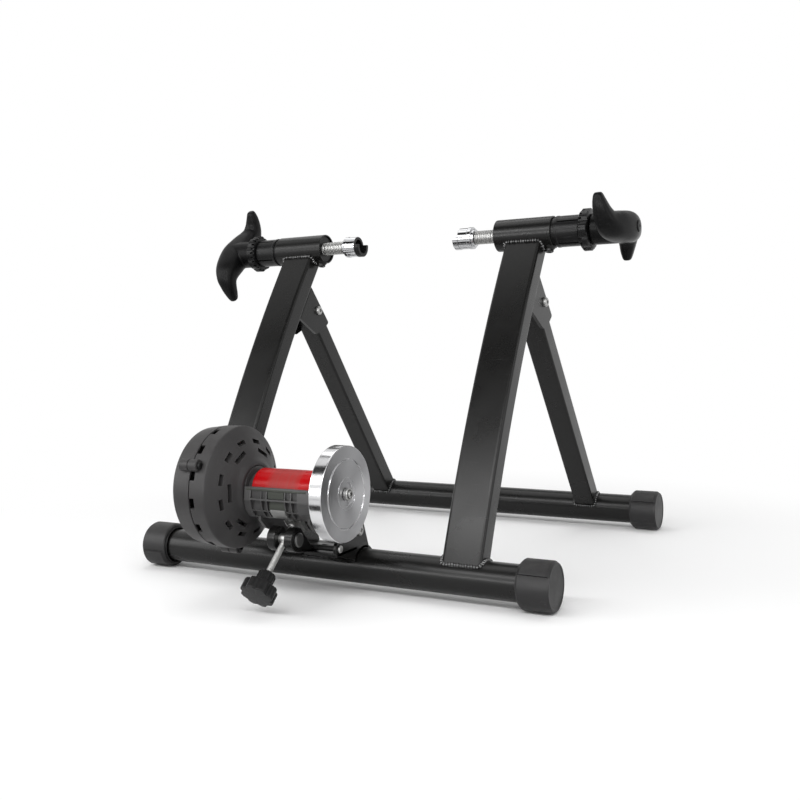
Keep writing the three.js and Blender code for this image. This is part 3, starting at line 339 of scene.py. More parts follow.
# Copies of a shape in a ring round X, or in a row along X where the step is a length
def copyTree(name, step):
    tree, given, made = geometryTree(name, {"Count": 3, "First": 0.0, "Step": 0.01})
    spots = addNode(tree, "GeometryNodePoints", Count=given["Count"])
    index = addNode(tree, "GeometryNodeInputIndex").outputs[0]
    place = calculate(tree, "MULTIPLY_ADD", index, given["Step"], given["First"])
    along = addNode(tree, "ShaderNodeCombineXYZ", X=place).outputs[0]
    copies = addNode(tree, "GeometryNodeInstanceOnPoints", Points=spots.outputs[0],
                     Instance=given["Geometry"])
    if step == "turn":
        tree.links.new(along, copies.inputs["Rotation"])
    else:
        copies = addNode(tree, "GeometryNodeTranslateInstances", Instances=copies.outputs[0],
                         Translation=along)
    return endTree(tree, given, made, copies.outputs[0])


def growPiece(name, tree, finish, values, base=None):
    piece = base or linkPiece(name, bpy.data.meshes.new(name))
    piece.name = name
    values["Finish"] = materials[finish]
    step = piece.modifiers.new(tree.name, "NODES")
    step.node_group = tree
    for item in tree.interface.items_tree:
        if item.in_out == "INPUT" and item.name in values:
            step[item.identifier] = values[item.name]
    return bake(piece)


weldRun = weldTree()
screwThread = threadTree()
ringOfCopies = copyTree("ringOfCopies", "turn")
rowOfCopies = copyTree("rowOfCopies", "line")
print("stage: geometry trees built")


# Shader groups

def shaderGroup(name, inputs, *outputs):
    return newTree(name, "ShaderNodeTree", inputs, dict.fromkeys(outputs, "NodeSocketFloat"))


def objectPoint(tree):
    return addNode(tree, "ShaderNodeTexCoord").outputs["Object"]


def noiseOf(tree, point, scale, detail=3.0, roughness=0.55):
    return addNode(tree, "ShaderNodeTexNoise", Vector=point, Scale=scale, Detail=detail,
                   Roughness=roughness).outputs["Fac"]


def mapped(tree, value, low, high, toLow=0.0, toHigh=1.0):
    return addNode(tree, "ShaderNodeMapRange", {"interpolation_type": "SMOOTHSTEP"}, Value=value,
                   From_Min=low, From_Max=high, To_Min=toLow, To_Max=toHigh).outputs["Result"]


# Fine grain of a moulded or painted skin, as a height, and slow cloudiness as a mask
def skinGrain():
    tree, given, made = shaderGroup("skinGrain", {
        "Grain scale": 1500.0, "Wave scale": 60.0, "Wave share": 0.4}, "Height", "Cloud")
    point = objectPoint(tree)
    grain = noiseOf(tree, point, given["Grain scale"], 2.0)
    wave = noiseOf(tree, point, given["Wave scale"], 2.0, 0.4)
    height = calculate(tree, "ADD", grain, calculate(tree, "MULTIPLY", wave, given["Wave share"]))
    tree.links.new(height, made["Height"])
    tree.links.new(mapped(tree, noiseOf(tree, point, 18.0, 4.0), 0.3, 0.7), made["Cloud"])
    return tree


# Rubbed edges: where the rounded normal leaves the true one, broken up by noise
def rubbedEdges():
    tree, given, made = shaderGroup("rubbedEdges", {"Radius": 0.0012, "Break scale": 220.0}, "Mask")
    soft = addNode(tree, "ShaderNodeBevel", {"samples": 4}, Radius=given["Radius"])
    true = addNode(tree, "ShaderNodeNewGeometry")
    meeting = calculate(tree, "DOT_PRODUCT", soft.outputs[0], true.outputs["Normal"],
                        kind="ShaderNodeVectorMath")
    edge = mapped(tree, calculate(tree, "SUBTRACT", 1.0, meeting), 0.02, 0.16)
    broken = mapped(tree, noiseOf(tree, objectPoint(tree), given["Break scale"], 4.0), 0.35, 0.65)
    tree.links.new(calculate(tree, "MULTIPLY", edge, broken), made["Mask"])
    return tree


# Scuffs: thin crossing hairlines gathered in patches
def hairScuffs():
    tree, given, made = shaderGroup("hairScuffs", {"Line scale": 900.0, "Patch scale": 22.0}, "Mask")
    point = objectPoint(tree)
    lines = []
    for angle, stretch in ((0.5, (1.0, 0.03, 0.4)), (2.1, (0.04, 1.0, 0.5))):
        placed = addNode(tree, "ShaderNodeMapping", Vector=point, Rotation=(angle, angle * 0.7, angle),
                         Scale=stretch)
        line = noiseOf(tree, placed.outputs[0], given["Line scale"], 1.0, 0.3)
        lines.append(mapped(tree, line, 0.66, 0.74))
    patch = mapped(tree, noiseOf(tree, point, given["Patch scale"]), 0.5, 0.7)
    both = calculate(tree, "MAXIMUM", *lines)
    tree.links.new(calculate(tree, "MULTIPLY", both, patch), made["Mask"])
    return tree


# Dust lies on what faces up, thicker in places
def settledDust():
    tree, given, made = shaderGroup("settledDust", {"Amount": 0.3}, "Mask")
    normal = addNode(tree, "ShaderNodeNewGeometry").outputs["Normal"]
    facing = addNode(tree, "ShaderNodeSeparateXYZ", Vector=normal)
    up = mapped(tree, facing.outputs["Z"], 0.45, 1.0)
    spread = mapped(tree, noiseOf(tree, objectPoint(tree), 120.0, 6.0, 0.7), 0.3, 0.75)
    dusty = calculate(tree, "MULTIPLY", up, spread)
    tree.links.new(calculate(tree, "MULTIPLY", dusty, given["Amount"]), made["Mask"])
    return tree


grainGroup = skinGrain()
edgeGroup = rubbedEdges()
scuffGroup = hairScuffs()
dustGroup = settledDust()


# Finishes: what each surface is made of, with the record's slot for it
# Colours are linear and one number is a grey, roughness runs from cloudy to clear, and grain is the
# scale of the grain, the scale of the waves and their share
plainFinish = {"metal": 0.0, "specular": 0.5, "brushed": 0.0, "edge": 0.0, "dust": 0.0}
finishes = {
    "glossPaint": {
        "slot": "gloss_black_paint", "color": (0.0048, 0.0047, 0.0045), "worn": 0.05, "rough": (0.26, 0.31),
        "grain": (900, 60, 0.2), "bump": 0.012, "edge": 0.3, "scuff": 0.15, "dust": 0.05, "specular": 0.26},
    "weldPaint": {
        "slot": "gloss_black_paint", "color": 0.007, "worn": 0.09, "rough": (0.05, 0.12),
        "grain": (700, 180, 1.5), "bump": 0.12, "scuff": 0.1, "specular": 1.0},
    "mattePlastic": {
        "slot": "black_plastic", "color": (0.0065, 0.0065, 0.0068), "worn": 0.05, "rough": (0.27, 0.36),
        "grain": (2200, 90, 0.3), "bump": 0.16, "edge": 0.22, "scuff": 0.25, "dust": 0.05, "specular": 0.18},
    "footPlastic": {
        "slot": "foot_plastic", "color": (0.015, 0.0145, 0.015), "worn": 0.07, "rough": (0.42, 0.55),
        "grain": (1600, 80, 0.4), "bump": 0.2, "edge": 0.25, "scuff": 0.4, "dust": 0.1, "specular": 0.28},
    "handlePlastic": {
        "slot": "handle_plastic", "color": (0.004, 0.004, 0.0042), "worn": 0.05, "rough": (0.3, 0.42),
        "grain": (1800, 60, 0.6), "bump": 0.08, "edge": 0.12, "scuff": 0.22, "dust": 0.03, "specular": 0.1},
    "charcoalPlastic": {
        "slot": "charcoal_plastic", "color": (0.029, 0.0275, 0.028), "worn": 0.11, "rough": (0.42, 0.55),
        "grain": (1300, 70, 0.3), "bump": 0.3, "edge": 0.25, "scuff": 0.3, "dust": 0.08, "specular": 0.3},
    "cradlePlastic": {
        "slot": "black_plastic", "color": (0.042, 0.041, 0.041), "worn": 0.09, "rough": (0.34, 0.46),
        "grain": (2000, 90, 0.3), "bump": 0.16, "edge": 0.25, "scuff": 0.2, "dust": 0.08, "specular": 0.35},
    "olivePlastic": {
        "slot": "charcoal_plastic", "color": (0.036, 0.04, 0.032), "worn": (0.12, 0.12, 0.11),
        "rough": (0.5, 0.65), "grain": (1300, 70, 0.3), "bump": 0.3, "edge": 0.25, "scuff": 0.25,
        "specular": 0.3},
    "redRoller": {
        "slot": "red_roller", "color": (0.42, 0.002, 0.004), "worn": (0.3, 0.015, 0.018),
        "rough": (0.2, 0.28), "grain": (900, 40, 0.5), "bump": 0.02, "edge": 0.1, "scuff": 0.2,
        "specular": 0.14},
    "chrome": {
        "slot": "chrome", "color": (0.56, 0.565, 0.575), "worn": 0.45, "rough": (0.07, 0.11),
        "grain": (500, 90, 1.0), "bump": 0.004, "scuff": 0.08, "metal": 1.0},
    "turnedSteel": {
        "slot": "turned_steel", "color": (0.42, 0.42, 0.43), "worn": 0.32, "rough": (0.28, 0.31),
        "grain": (800, 60, 0.3), "bump": 0.03, "scuff": 0.05, "metal": 1.0, "brushed": 0.8},
    "polishedRim": {
        "slot": "turned_steel", "color": (0.68, 0.68, 0.69), "worn": 0.5, "rough": (0.12, 0.2),
        "grain": (800, 60, 0.3), "bump": 0.02, "scuff": 0.3, "metal": 1.0},
    "zincSteel": {
        "slot": "zinc_steel", "color": (0.42, 0.42, 0.412), "worn": (0.3, 0.29, 0.28), "rough": (0.38, 0.46),
        "grain": (1200, 120, 0.5), "bump": 0.02, "scuff": 0.15, "metal": 1.0},
    "greyEnd": {
        "slot": "zinc_steel", "color": (0.13, 0.13, 0.128), "worn": 0.4, "rough": (0.42, 0.55),
        "grain": (1200, 120, 0.5), "bump": 0.1, "edge": 0.3, "scuff": 0.3, "metal": 1.0},
    "dullZinc": {
        "slot": "zinc_steel", "color": (0.25, 0.25, 0.245), "worn": 0.4, "rough": (0.42, 0.55),
        "grain": (1200, 120, 0.5), "bump": 0.1, "edge": 0.3, "scuff": 0.3, "metal": 1.0},
    # Near-black steel for bolt shanks: painted shade where they run between other parts
    "shadedShankSteel": {
        "slot": "zinc_steel", "color": 0.03, "worn": 0.1, "rough": (0.4, 0.5),
        "grain": (1200, 120, 0.5), "bump": 0.05, "scuff": 0.3, "metal": 1.0},
    "aluminium": {
        "slot": "aluminium", "color": (0.62, 0.625, 0.63), "worn": 0.45, "rough": (0.3, 0.42),
        "grain": (900, 80, 0.4), "bump": 0.06, "scuff": 0.4, "metal": 1.0},
    "ferrite": {
        "slot": "ferrite", "color": (0.03, 0.03, 0.032), "worn": 0.09, "rough": (0.5, 0.7),
        "grain": (600, 80, 0.6), "bump": 0.4, "edge": 0.4, "scuff": 0.2, "metal": 0.3},
}
wear = {
    "cloudShade": 0.86, "wornRough": 0.35, "dustColor": (0.2, 0.19, 0.18), "dustRough": 0.5,
    "bumpDepth": 0.0004,
}


def placeGroup(tree, group, **values):
    return addNode(tree, "ShaderNodeGroup", {"node_tree": group}, **values)


def mixColors(tree, mask, first, second):
    node = addNode(tree, "ShaderNodeMix", {"data_type": "RGBA"})
    tree.links.new(mask, node.inputs[0])
    for socket, value in ((node.inputs[6], first), (node.inputs[7], second)):
        feed(tree, socket, value if hasattr(value, "is_output") else (*value, 1.0))
    return node.outputs[2]


def asColor(value):
    return value if isinstance(value, tuple) else (value, value, value)


def makeFinish(name, changes):
    look = {**plainFinish, **changes}
    material = bpy.data.materials.new(name)
    material.use_nodes = True
    tree = material.node_tree
    shader = tree.nodes["Principled BSDF"]
    shader.inputs["Metallic"].default_value = look["metal"]
    shader.inputs["Specular IOR Level"].default_value = look["specular"]
    shader.inputs["Anisotropic"].default_value = look["brushed"]
    grainScale, waveScale, waveShare = look["grain"]
    grain = placeGroup(tree, grainGroup, Grain_scale=grainScale, Wave_scale=waveScale, Wave_share=waveShare)
    cloud = grain.outputs["Cloud"]
    marks = calculate(tree, "MULTIPLY", placeGroup(tree, scuffGroup).outputs["Mask"], look["scuff"])
    if look["edge"]:
        rubbed = calculate(tree, "MULTIPLY", placeGroup(tree, edgeGroup).outputs["Mask"], look["edge"])
        marks = calculate(tree, "MAXIMUM", marks, rubbed)
    clear = asColor(look["color"])
    color = mixColors(tree, cloud, clear, [wear["cloudShade"] * part for part in clear])
    color = mixColors(tree, marks, color, asColor(look["worn"]))
    rough = mapped(tree, cloud, 0.0, 1.0, *look["rough"])
    rough = calculate(tree, "MULTIPLY_ADD", marks, wear["wornRough"], rough)
    if look["dust"]:
        dust = placeGroup(tree, dustGroup, Amount=look["dust"]).outputs["Mask"]
        color = mixColors(tree, dust, color, wear["dustColor"])
        rough = calculate(tree, "MULTIPLY_ADD", dust, wear["dustRough"], rough)
    tree.links.new(color, shader.inputs["Base Color"])
    tree.links.new(rough, shader.inputs["Roughness"])
    bump = addNode(tree, "ShaderNodeBump", Strength=look["bump"], Distance=wear["bumpDepth"],
                   Height=grain.outputs["Height"])
    tree.links.new(bump.outputs["Normal"], shader.inputs["Normal"])
    return material


materials = {name: makeFinish(name, look) for name, look in finishes.items()}

# Turned surfaces: the scale of the rings on each, and the band that the tyre has dulled on the roller
turning = {
    "turnedSteel": 420.0, "polishedRim": 400.0, "redRoller": 300.0, "band": (13.0, 24.0),
    "bandRough": 0.24, "bandColor": (0.24, 0.05, 0.045), "bandShare": 0.7,
}


# Fine rings round the roller's axis, whose height runs with one distance only
def turnFinish(finish, acrossFace=False):
    tree = materials[finish].node_tree
    centred = addNode(tree, "ShaderNodeMapping", Vector=objectPoint(tree),
                      Location=(0.0, -rollerAxis.y * mm, -rollerAxis.z * mm))
    split = addNode(tree, "ShaderNodeSeparateXYZ", Vector=centred.outputs[0])
    distance = split.outputs["X"]
    if acrossFace:
        flat = addNode(tree, "ShaderNodeCombineXYZ", Y=split.outputs["Y"], Z=split.outputs["Z"])
        distance = calculate(tree, "LENGTH", flat.outputs[0], kind="ShaderNodeVectorMath")
    line = addNode(tree, "ShaderNodeCombineXYZ", X=distance)
    marks = noiseOf(tree, line.outputs[0], turning[finish], 3.0, 0.6)
    bump = next(node for node in tree.nodes if node.type == "BUMP")
    tree.links.new(marks, bump.inputs["Height"])
    return tree, tree.nodes["Principled BSDF"], distance, marks


def brushFace():
    tree, shader, _, _ = turnFinish("turnedSteel", acrossFace=True)
    tangent = addNode(tree, "ShaderNodeTangent", {"direction_type": "RADIAL", "axis": "X"})
    tree.links.new(tangent.outputs[0], shader.inputs["Tangent"])


def dullRoller():
    tree, shader, along, marks = turnFinish("redRoller")
    inner, outer = turning["band"]
    band = mapped(tree, calculate(tree, "ABSOLUTE", along), inner * mm, outer * mm, 1.0, 0.0)
    patchy = calculate(tree, "MULTIPLY", band, mapped(tree, marks, 0.3, 0.7, 0.5, 1.0))
    rough, color = shader.inputs["Roughness"], shader.inputs["Base Color"]
    duller = calculate(tree, "MULTIPLY_ADD", patchy, turning["bandRough"], rough.links[0].from_socket)
    faded = calculate(tree, "MULTIPLY", patchy, turning["bandShare"])
    paler = mixColors(tree, faded, color.links[0].from_socket, turning["bandColor"])
    tree.links.new(duller, rough)
    tree.links.new(paler, color)


brushFace()
turnFinish("polishedRim")
dullRoller()
print("stage:", len(materials), "finishes made")


# Gives a finished piece its material and body, and hides the nodes it stands for
def dress(piece, finish, body, *nodes, crease=sharpDegrees):
    piece.data.materials.clear()
    piece.data.materials.append(materials[finish])
    piece.data.shade_smooth()
    piece.data.set_sharp_from_angle(angle=math.radians(crease))
    weigh = piece.modifiers.new("weigh", "WEIGHTED_NORMAL")
    weigh.keep_sharp = True
    bake(piece)
    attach(piece, body)
    if nodes:
        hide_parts(*nodes)
    return piece


# Gives a second finish to the faces that a test on their middle and normal picks
def refinish(piece, finish, picks):
    piece.data.materials.append(materials[finish])
    for face in piece.data.polygons:
        if picks(face.center / mm, face.normal):
            face.material_index = 1


def hexOutline(radius, steps=8):
    outline = []
    for i in range(6 * steps):
        angle = fullTurn * i / (6 * steps)
        off = (angle % (fullTurn / 6)) - fullTurn / 12
        outline.append((angle, radius * math.cos(fullTurn / 12) / math.cos(off)))
    return outline


def lobedOutline(radius, depth, lobes, steps=16):
    outline = []
    for i in range(lobes * steps):
        angle = fullTurn * i / (lobes * steps)
        dip = (1 - math.cos(angle * lobes)) / 2
        outline.append((angle, radius - depth * dip * dip))
    return outline


def roundedSection(width, depth, corner, steps=5):
    points = []
    for startAngle, x, y in ((0, 1, 1), (90, -1, 1), (180, -1, -1), (270, 1, -1)):
        centreX, centreY = x * (width / 2 - corner), y * (depth / 2 - corner)
        points += arc(corner, startAngle, startAngle + 90, steps, centreX, centreY)
    return points


# Floor tubes
floorTubes = {"radius": 19, "wall": 2, "edge": 0.6, "steps": 120}


def floorTube(name, node, body):
    low, high = spanOf(node)
    radius = floorTubes["radius"]
    profile = tubeProfile(low.x, high.x, radius - floorTubes["wall"], radius)
    piece = lathe(name, rounded(profile, floorTubes["edge"]), onAxis(middleOf(node)), floorTubes["steps"])
    dress(piece, "glossPaint", body, node)


floorTube("front_floor_tube", "front_base_tube", "frame")
floorTube("rear_floor_tube", "rear_base_tube", "rear_frame")

# Cam feet: each end is a snail cam with two steps, so that a turn of it lifts the tube
feet = {
    "outer": 260, "length": 36, "low": 24.4, "high": 26.8, "step": 145, "outerChamfer": 3,
    "innerChamfer": 5, "bore": 19.3, "endWall": 5, "mouth": 20.7, "mouthDepth": 7, "lip": 21.7,
    "groove": 1.6, "lobeSteps": 48, "soft": 0.5, "dish": 0.5, "dishRadius": 21.4,
    "frontLeftTurn": 25,
}


def footPiece(name, node, tube, leftTurn=None):
    outer, inner = feet["outer"], feet["outer"] - feet["length"]
    high, ease, groove, dish = feet["high"], feet["innerChamfer"], feet["groove"], feet["dish"]
    outline = []
    for lobe in range(2):
        for i in range(feet["lobeSteps"] + 1):
            share = i / feet["lobeSteps"]
            angle = math.radians(feet["step"]) - (lobe + share) * math.pi
            outline.append((angle, high - (high - feet["low"]) * share))
    wall, mouth, cone = outer - feet["endWall"], inner + feet["mouthDepth"], high - ease
    rows = [
        (wall, 0), (wall, feet["bore"]), (mouth, feet["bore"]), (mouth, feet["mouth"]),
        (inner, feet["mouth"]), (inner, feet["lip"]), (inner + groove, feet["lip"]),
        (inner + groove, cone + groove), (inner + ease * 0.6, cone + ease * 0.6), (inner + ease, high),
        (outer - feet["outerChamfer"], high), (outer, high - feet["outerChamfer"]),
        (outer, feet["dishRadius"] + dish), (outer - dish, feet["dishRadius"]), (outer - dish, 0)]
    place = onAxis(tube)
    if leftTurn is not None:
        place = place @ turned(-leftTurn) @ turned(180, "Z")
    piece = polar(name, outline, [(x, limit, 0) for x, limit in rows], place)
    soften(piece, feet["soft"])
    dress(piece, "footPlastic", node, node)


footPiece("front_right_cam_foot", "front_right_foot", frontTube)
footPiece("front_left_cam_foot", "front_left_foot", frontTube, feet["frontLeftTurn"])
footPiece("rear_right_cam_foot", "rear_right_foot", rearTube)
footPiece("rear_left_cam_foot", "rear_left_foot", rearTube, 0)
print("stage: floor tubes and feet")

# Bowed uprights, welded to the front tube and to the clamp housings
uprights = {
    "width": 45, "depth": 25, "corner": 4, "footAhead": 5.3, "headBehind": 5.7, "footLean": 24.2,
    "headLean": 36.9, "steps": 48, "housingRadius": 19.5, "sink": 0.6,
}
welds = {"radius": 2.7, "spacing": 3.1, "sink": 0.6, "legRadius": 2.4}


def bowLine():
    footLean, headLean = math.radians(uprights["footLean"]), math.radians(uprights["headLean"])
    low = Vector((0, frontTube.y - uprights["footAhead"], frontTube.z))
    high = Vector((0, clampAxis.y + uprights["headBehind"], clampAxis.z))
    run, rise = high.y - low.y, high.z - low.z
    reach = (rise * math.sin(headLean) - run * math.cos(headLean)) / math.sin(headLean - footLean)
    return low, low + Vector((0, math.sin(footLean), math.cos(footLean))) * reach, high


bow = bowLine()


# A point of the bow's section, u across the wheel and v square to the bow
def bowPoint(t, u=0.0, v=0.0):
    low, bend, high = bow
    centre = low * (1 - t) ** 2 + bend * 2 * t * (1 - t) + high * t ** 2
    along = ((bend - low) * (1 - t) + (high - bend) * t).normalized()
    return centre + Vector((u, along.z * v, -along.y * v))


def legPoint(lean, foot):
    along = Vector((0, -math.sin(lean), math.cos(lean)))

    def point(t, u=0.0, v=0.0):
        return foot + along * t + Vector((u, along.z * v, -along.y * v))
    return point


# Where a line on the skin of a tube leaves a round tube of the given radius
def meetTube(pointAt, u, v, axis, radius, inside, outside):
    for _ in range(30):
        middle = (inside + outside) / 2
        spot = pointAt(middle, u, v)
        if math.hypot(spot.y - axis.y, spot.z - axis.z) < radius:
            inside = middle
        else:
            outside = middle
    return pointAt(inside, u, v)


# The line of a weld round a rectangular tube, just off it, each step of it cut in parts
def weldLine(look, parts):
    edge = roundedSection(look["width"] + 1, look["depth"] + 1, look["corner"], 4)
    line = []
    for i, (u, v) in enumerate(edge):
        nextU, nextV = edge[(i + 1) % len(edge)]
        line += [(u + (nextU - u) * s / parts, v + (nextV - v) * s / parts) for s in range(parts)]
    return line


def weldPiece(name, body, pointAt, line, axis, radius, inside, outside, x, beadRadius, seed):
    spots = [meetTube(pointAt, u, v, axis, radius + welds["sink"], inside, outside) + Vector((x, 0, 0))
             for u, v in line]
    mesh = bpy.data.meshes.new(name)
    mesh.from_pydata([spot * mm for spot in spots], [(i, (i + 1) % len(spots)) for i in range(len(spots))],
                     [])
    piece = growPiece(name, weldRun, "weldPaint", {
        "Bead radius": beadRadius * mm, "Bead spacing": welds["spacing"] * mm, "Seed": seed},
        linkPiece(name, mesh))
    dress(piece, "weldPaint", body)


def uprightPiece(side, sign):
    middle = sign * uprightPlace
    section = roundedSection(uprights["width"], uprights["depth"], uprights["corner"])
    rings = []
    for i in range(uprights["steps"] + 1):
        t = i / uprights["steps"]
        rings.append([bowPoint(t, u, v) + Vector((middle, 0, 0)) for u, v in section])
    piece = skinRings(f"{side}_bowed_upright", rings, capped=True)
    wide = uprights["width"]
    # Each end: what it meets, the radius of that, from where to where it is looked for, and its seed
    ends = (("foot", frontTube, floorTubes["radius"], 0.0, 0.3, 3),
            ("head", clampAxis, uprights["housingRadius"], 1.0, 0.7, 7))
    combine(piece, [bar(name, middle - wide, middle + wide, radius - uprights["sink"], onAxis(axis))
                    for name, axis, radius, _, _, _ in ends])
    dress(piece, "glossPaint", "frame", f"{side}_upright")
    for name, axis, radius, inside, outside, seed in ends:
        weldPiece(f"{side}_{name}_weld", "frame", bowPoint, weldLine(uprights, 4), axis, radius, inside,
                  outside, middle, welds["radius"], seed + sign)


for side, sign in sides.items():
    uprightPiece(side, sign)


# The pivot stands off the bow by this much, and the bow leans by this angle there
def pivotFace():
    target = Vector((0, pivotAxis.y, pivotAxis.z))
    best = min((i / 2000 for i in range(2001)), key=lambda t: (bowPoint(t) - target).length)
    low, bend, high = bow
    along = (bend - low) * (1 - best) + (high - bend) * best
    return (bowPoint(best) - target).length - uprights["depth"] / 2, math.atan2(along.y, along.z)


pivotReach, pivotLean = pivotFace()

# Rear legs: straight tubes cut square to the bow at their heads
legs = {"width": 28, "depth": 25, "wall": 2, "corner": 3, "stopGap": 1.2, "sink": 0.6, "edge": 0.4}
brackets = {
    "cheek": 4, "side": 1, "weldGap": 0.2, "nose": 3, "fold": 4.5, "inner": 1.5, "soft": 0.5,
    "outline": [(-1, 0.56), (0.95, 0.04), (0.84, -0.3), (0.45, -0.89), (-1, -1.03)],
}


def legPiece(side, sign):
    run = math.hypot(rearTube.y - pivotAxis.y, pivotAxis.z - rearTube.z)
    lean = math.atan2(rearTube.y - pivotAxis.y, pivotAxis.z - rearTube.z)
    head = pivotReach + legs["depth"]
    place = onAxis(pivotAxis, sign * uprightPlace) @ turned(math.degrees(lean))
    outerSection = roundedSection(legs["width"], legs["depth"], legs["corner"])
    innerSection = roundedSection(legs["width"] - 2 * legs["wall"], legs["depth"] - 2 * legs["wall"],
                                  legs["corner"] - legs["wall"] / 2)
    rings = [[(u, v, z) for u, v in ring] for ring, z in (
        (outerSection, -run), (outerSection, head), (innerSection, head), (innerSection, -run))]
    piece = skinRings(f"{side}_straight_leg", rings, place, joined=True)
    wide = legs["width"]
    cope = bar("cope", -wide, wide, floorTubes["radius"] - legs["sink"],
               onAxis(rearTube, sign * uprightPlace))
    stop = pivotReach - brackets["cheek"] - legs["stopGap"]
    beyond = block("beyond", (-wide, -stop - head, -2 * head), (wide, -stop, 2 * head),
                   place @ turned(-math.degrees(pivotLean + lean)))
    combine(piece, [cope, beyond])
    soften(piece, legs["edge"], angle=50)
    dress(piece, "glossPaint", "rear_frame", f"{side}_rear_leg")
    foot = Vector((0, rearTube.y, rearTube.z))
    weldPiece(f"{side}_leg_weld", "rear_frame", legPoint(lean, foot), weldLine(legs, 3), rearTube,
              floorTubes["radius"], 0.0, 60.0, sign * uprightPlace, welds["legRadius"], 11 + sign)


# A folded bracket: a channel of sheet cut to the outline of its cheeks
def bracketPiece(side, sign):
    reach = pivotReach
    back = brackets["weldGap"] - reach
    inner = legs["width"] / 2 + brackets["side"]
    outer = inner + brackets["cheek"]
    front = 1.2 * reach
    floor = back + brackets["cheek"]
    channel = rounded([(-outer, front), (-outer, back), (outer, back), (outer, front)], brackets["fold"], 6)
    channel += rounded([(inner, front), (inner, floor), (-inner, floor), (-inner, front)],
                       brackets["inner"], 4)
    place = onAxis(pivotAxis, sign * uprightPlace) @ turned(-math.degrees(pivotLean))
    tall = 2 * reach
    piece = skinRings(f"{side}_folded_bracket", [[(x, y, z) for x, y in channel] for z in (-tall, tall)],
                      place, capped=True)
    outline = [(max(out * reach, back), up * reach) for out, up in brackets["outline"]]
    outline = rounded(outline + [outline[0]], brackets["nose"], 8)[:-1]
    shape = prism("cheeks", outline, -2 * outer, 2 * outer, place)
    combine(piece, [shape], "INTERSECT")
    soften(piece, brackets["soft"], angle=40)
    dress(piece, "glossPaint", "frame", f"{side}_hinge_bracket")


fasteners = {
    "boltRadius": 4, "headRadius": 6, "headLength": 4, "nutRadius": 7, "nutLength": 6.5, "nutFit": 0.2,
    "end": 2, "gap": 0.3, "socket": 2.6, "socketDepth": 2, "boltEase": 0.6, "nutEase": 0.7,
    "nutFlat": 0.88, "nutLead": 0.5, "domeSteps": 8,
    # The upright share of a pan head's height, and the flat share of its radius
    "wallShare": 0.35, "flatShare": 0.55,
}


def sinkSocket(piece, end, reach, depth, place):
    combine(piece, [polar("socket", hexOutline(reach, 1), [
        (end - depth, 0, 0), (end - depth, 9, 0), (end + 1, 9, 0), (end + 1, 0, 0)], place)])


# A pan-headed bolt along X from start to the seat of its head
def boltPiece(name, start, seat, radius, headRadius, headLength, place, socket=True):
    head, ease = seat + headLength, fasteners["boltEase"]
    wall, flat = fasteners["wallShare"], fasteners["flatShare"]
    profile = [(start, 0), (start, radius - ease), (start + ease, radius), (seat, radius),
               (seat, headRadius)]
    for i in range(fasteners["domeSteps"] + 1):
        angle = math.radians(90 * i / fasteners["domeSteps"])
        profile.append((seat + headLength * (wall + (1 - wall) * math.sin(angle)),
                        headRadius * (flat + (1 - flat) * math.cos(angle))))
    profile.append((head, 0))
    piece = lathe(name, profile, place, 48)
    if socket:
        sinkSocket(piece, head, min(fasteners["socket"], headRadius * 0.45),
                   min(fasteners["socketDepth"], headLength * 0.6), place)
    return piece


def nutPiece(name, start, end, radius, bore, place):
    flat, ease, lead = radius * fasteners["nutFlat"], fasteners["nutEase"], fasteners["nutLead"]
    rows = [(start, bore + lead, 0), (start, flat, 0), (start + ease, radius + 1, 0),
            (end - ease, radius + 1, 0), (end, flat, 0), (end, bore + lead, 0), (end - lead, bore, 0),
            (start + lead, bore, 0), (start, bore + lead, 0)]
    return polar(name, hexOutline(radius), rows, place)


def pivotFasteners(side, sign):
    place = onAxis(pivotAxis, sign * uprightPlace)
    outer = legs["width"] / 2 + brackets["side"] + brackets["cheek"] + fasteners["gap"]
    nutEnd = -outer - fasteners["nutLength"]
    bolt = boltPiece(f"{side}_pan_head_bolt", nutEnd - fasteners["end"], outer, fasteners["boltRadius"],
                     fasteners["headRadius"], fasteners["headLength"], place)
    dress(bolt, "zincSteel", "frame", f"{side}_pivot_bolt")
    nut = nutPiece(f"{side}_hex_nut", nutEnd, -outer, fasteners["nutRadius"],
                   fasteners["boltRadius"] + fasteners["nutFit"], place)
    dress(nut, "zincSteel", "frame", f"{side}_pivot_nut")


for side, sign in sides.items():
    legPiece(side, sign)
    bracketPiece(side, sign)
    pivotFasteners(side, sign)
print("stage: uprights, legs, hinge brackets and welds")

# Screw clamps, drawn with +X pointing out from the wheel
clamps = {
    "housing": (125, 197), "housingRadius": 19.5, "bore": 17.5, "edge": 0.9,
    "lugRadius": 5.5, "lugReach": 24.5, "lugFlare": 8, "lugHole": 2.6,
    "lugs": {"left": (131, -76), "right": (191, -104)},
    "setBack": 2, "sleeveRadius": 17.2, "sleeveBore": 9.1, "sleeveEdge": 0.7,
    "collar": (201, 231), "collarRadius": 19, "collarLip": 3, "barrel": 18.6,
    "slotWidth": 2, "slotStart": 205, "slotAngle": 54,
    "ring": (231.3, 243.3), "ringRadius": 25, "ringDepth": 2.2, "ringLobes": 8, "ringChamfer": 1.8,
    "ringFace": 20.5, "ringBore": 9.1, "ringEdge": 0.3, "notches": 24, "notchWidth": 2.4,
    "notchLength": 4.5, "notchFloor": 21.6, "steps": 96,
}


def clampPlace(sign):
    place = onAxis(clampAxis)
    return place if sign > 0 else place @ turned(180, "Z")


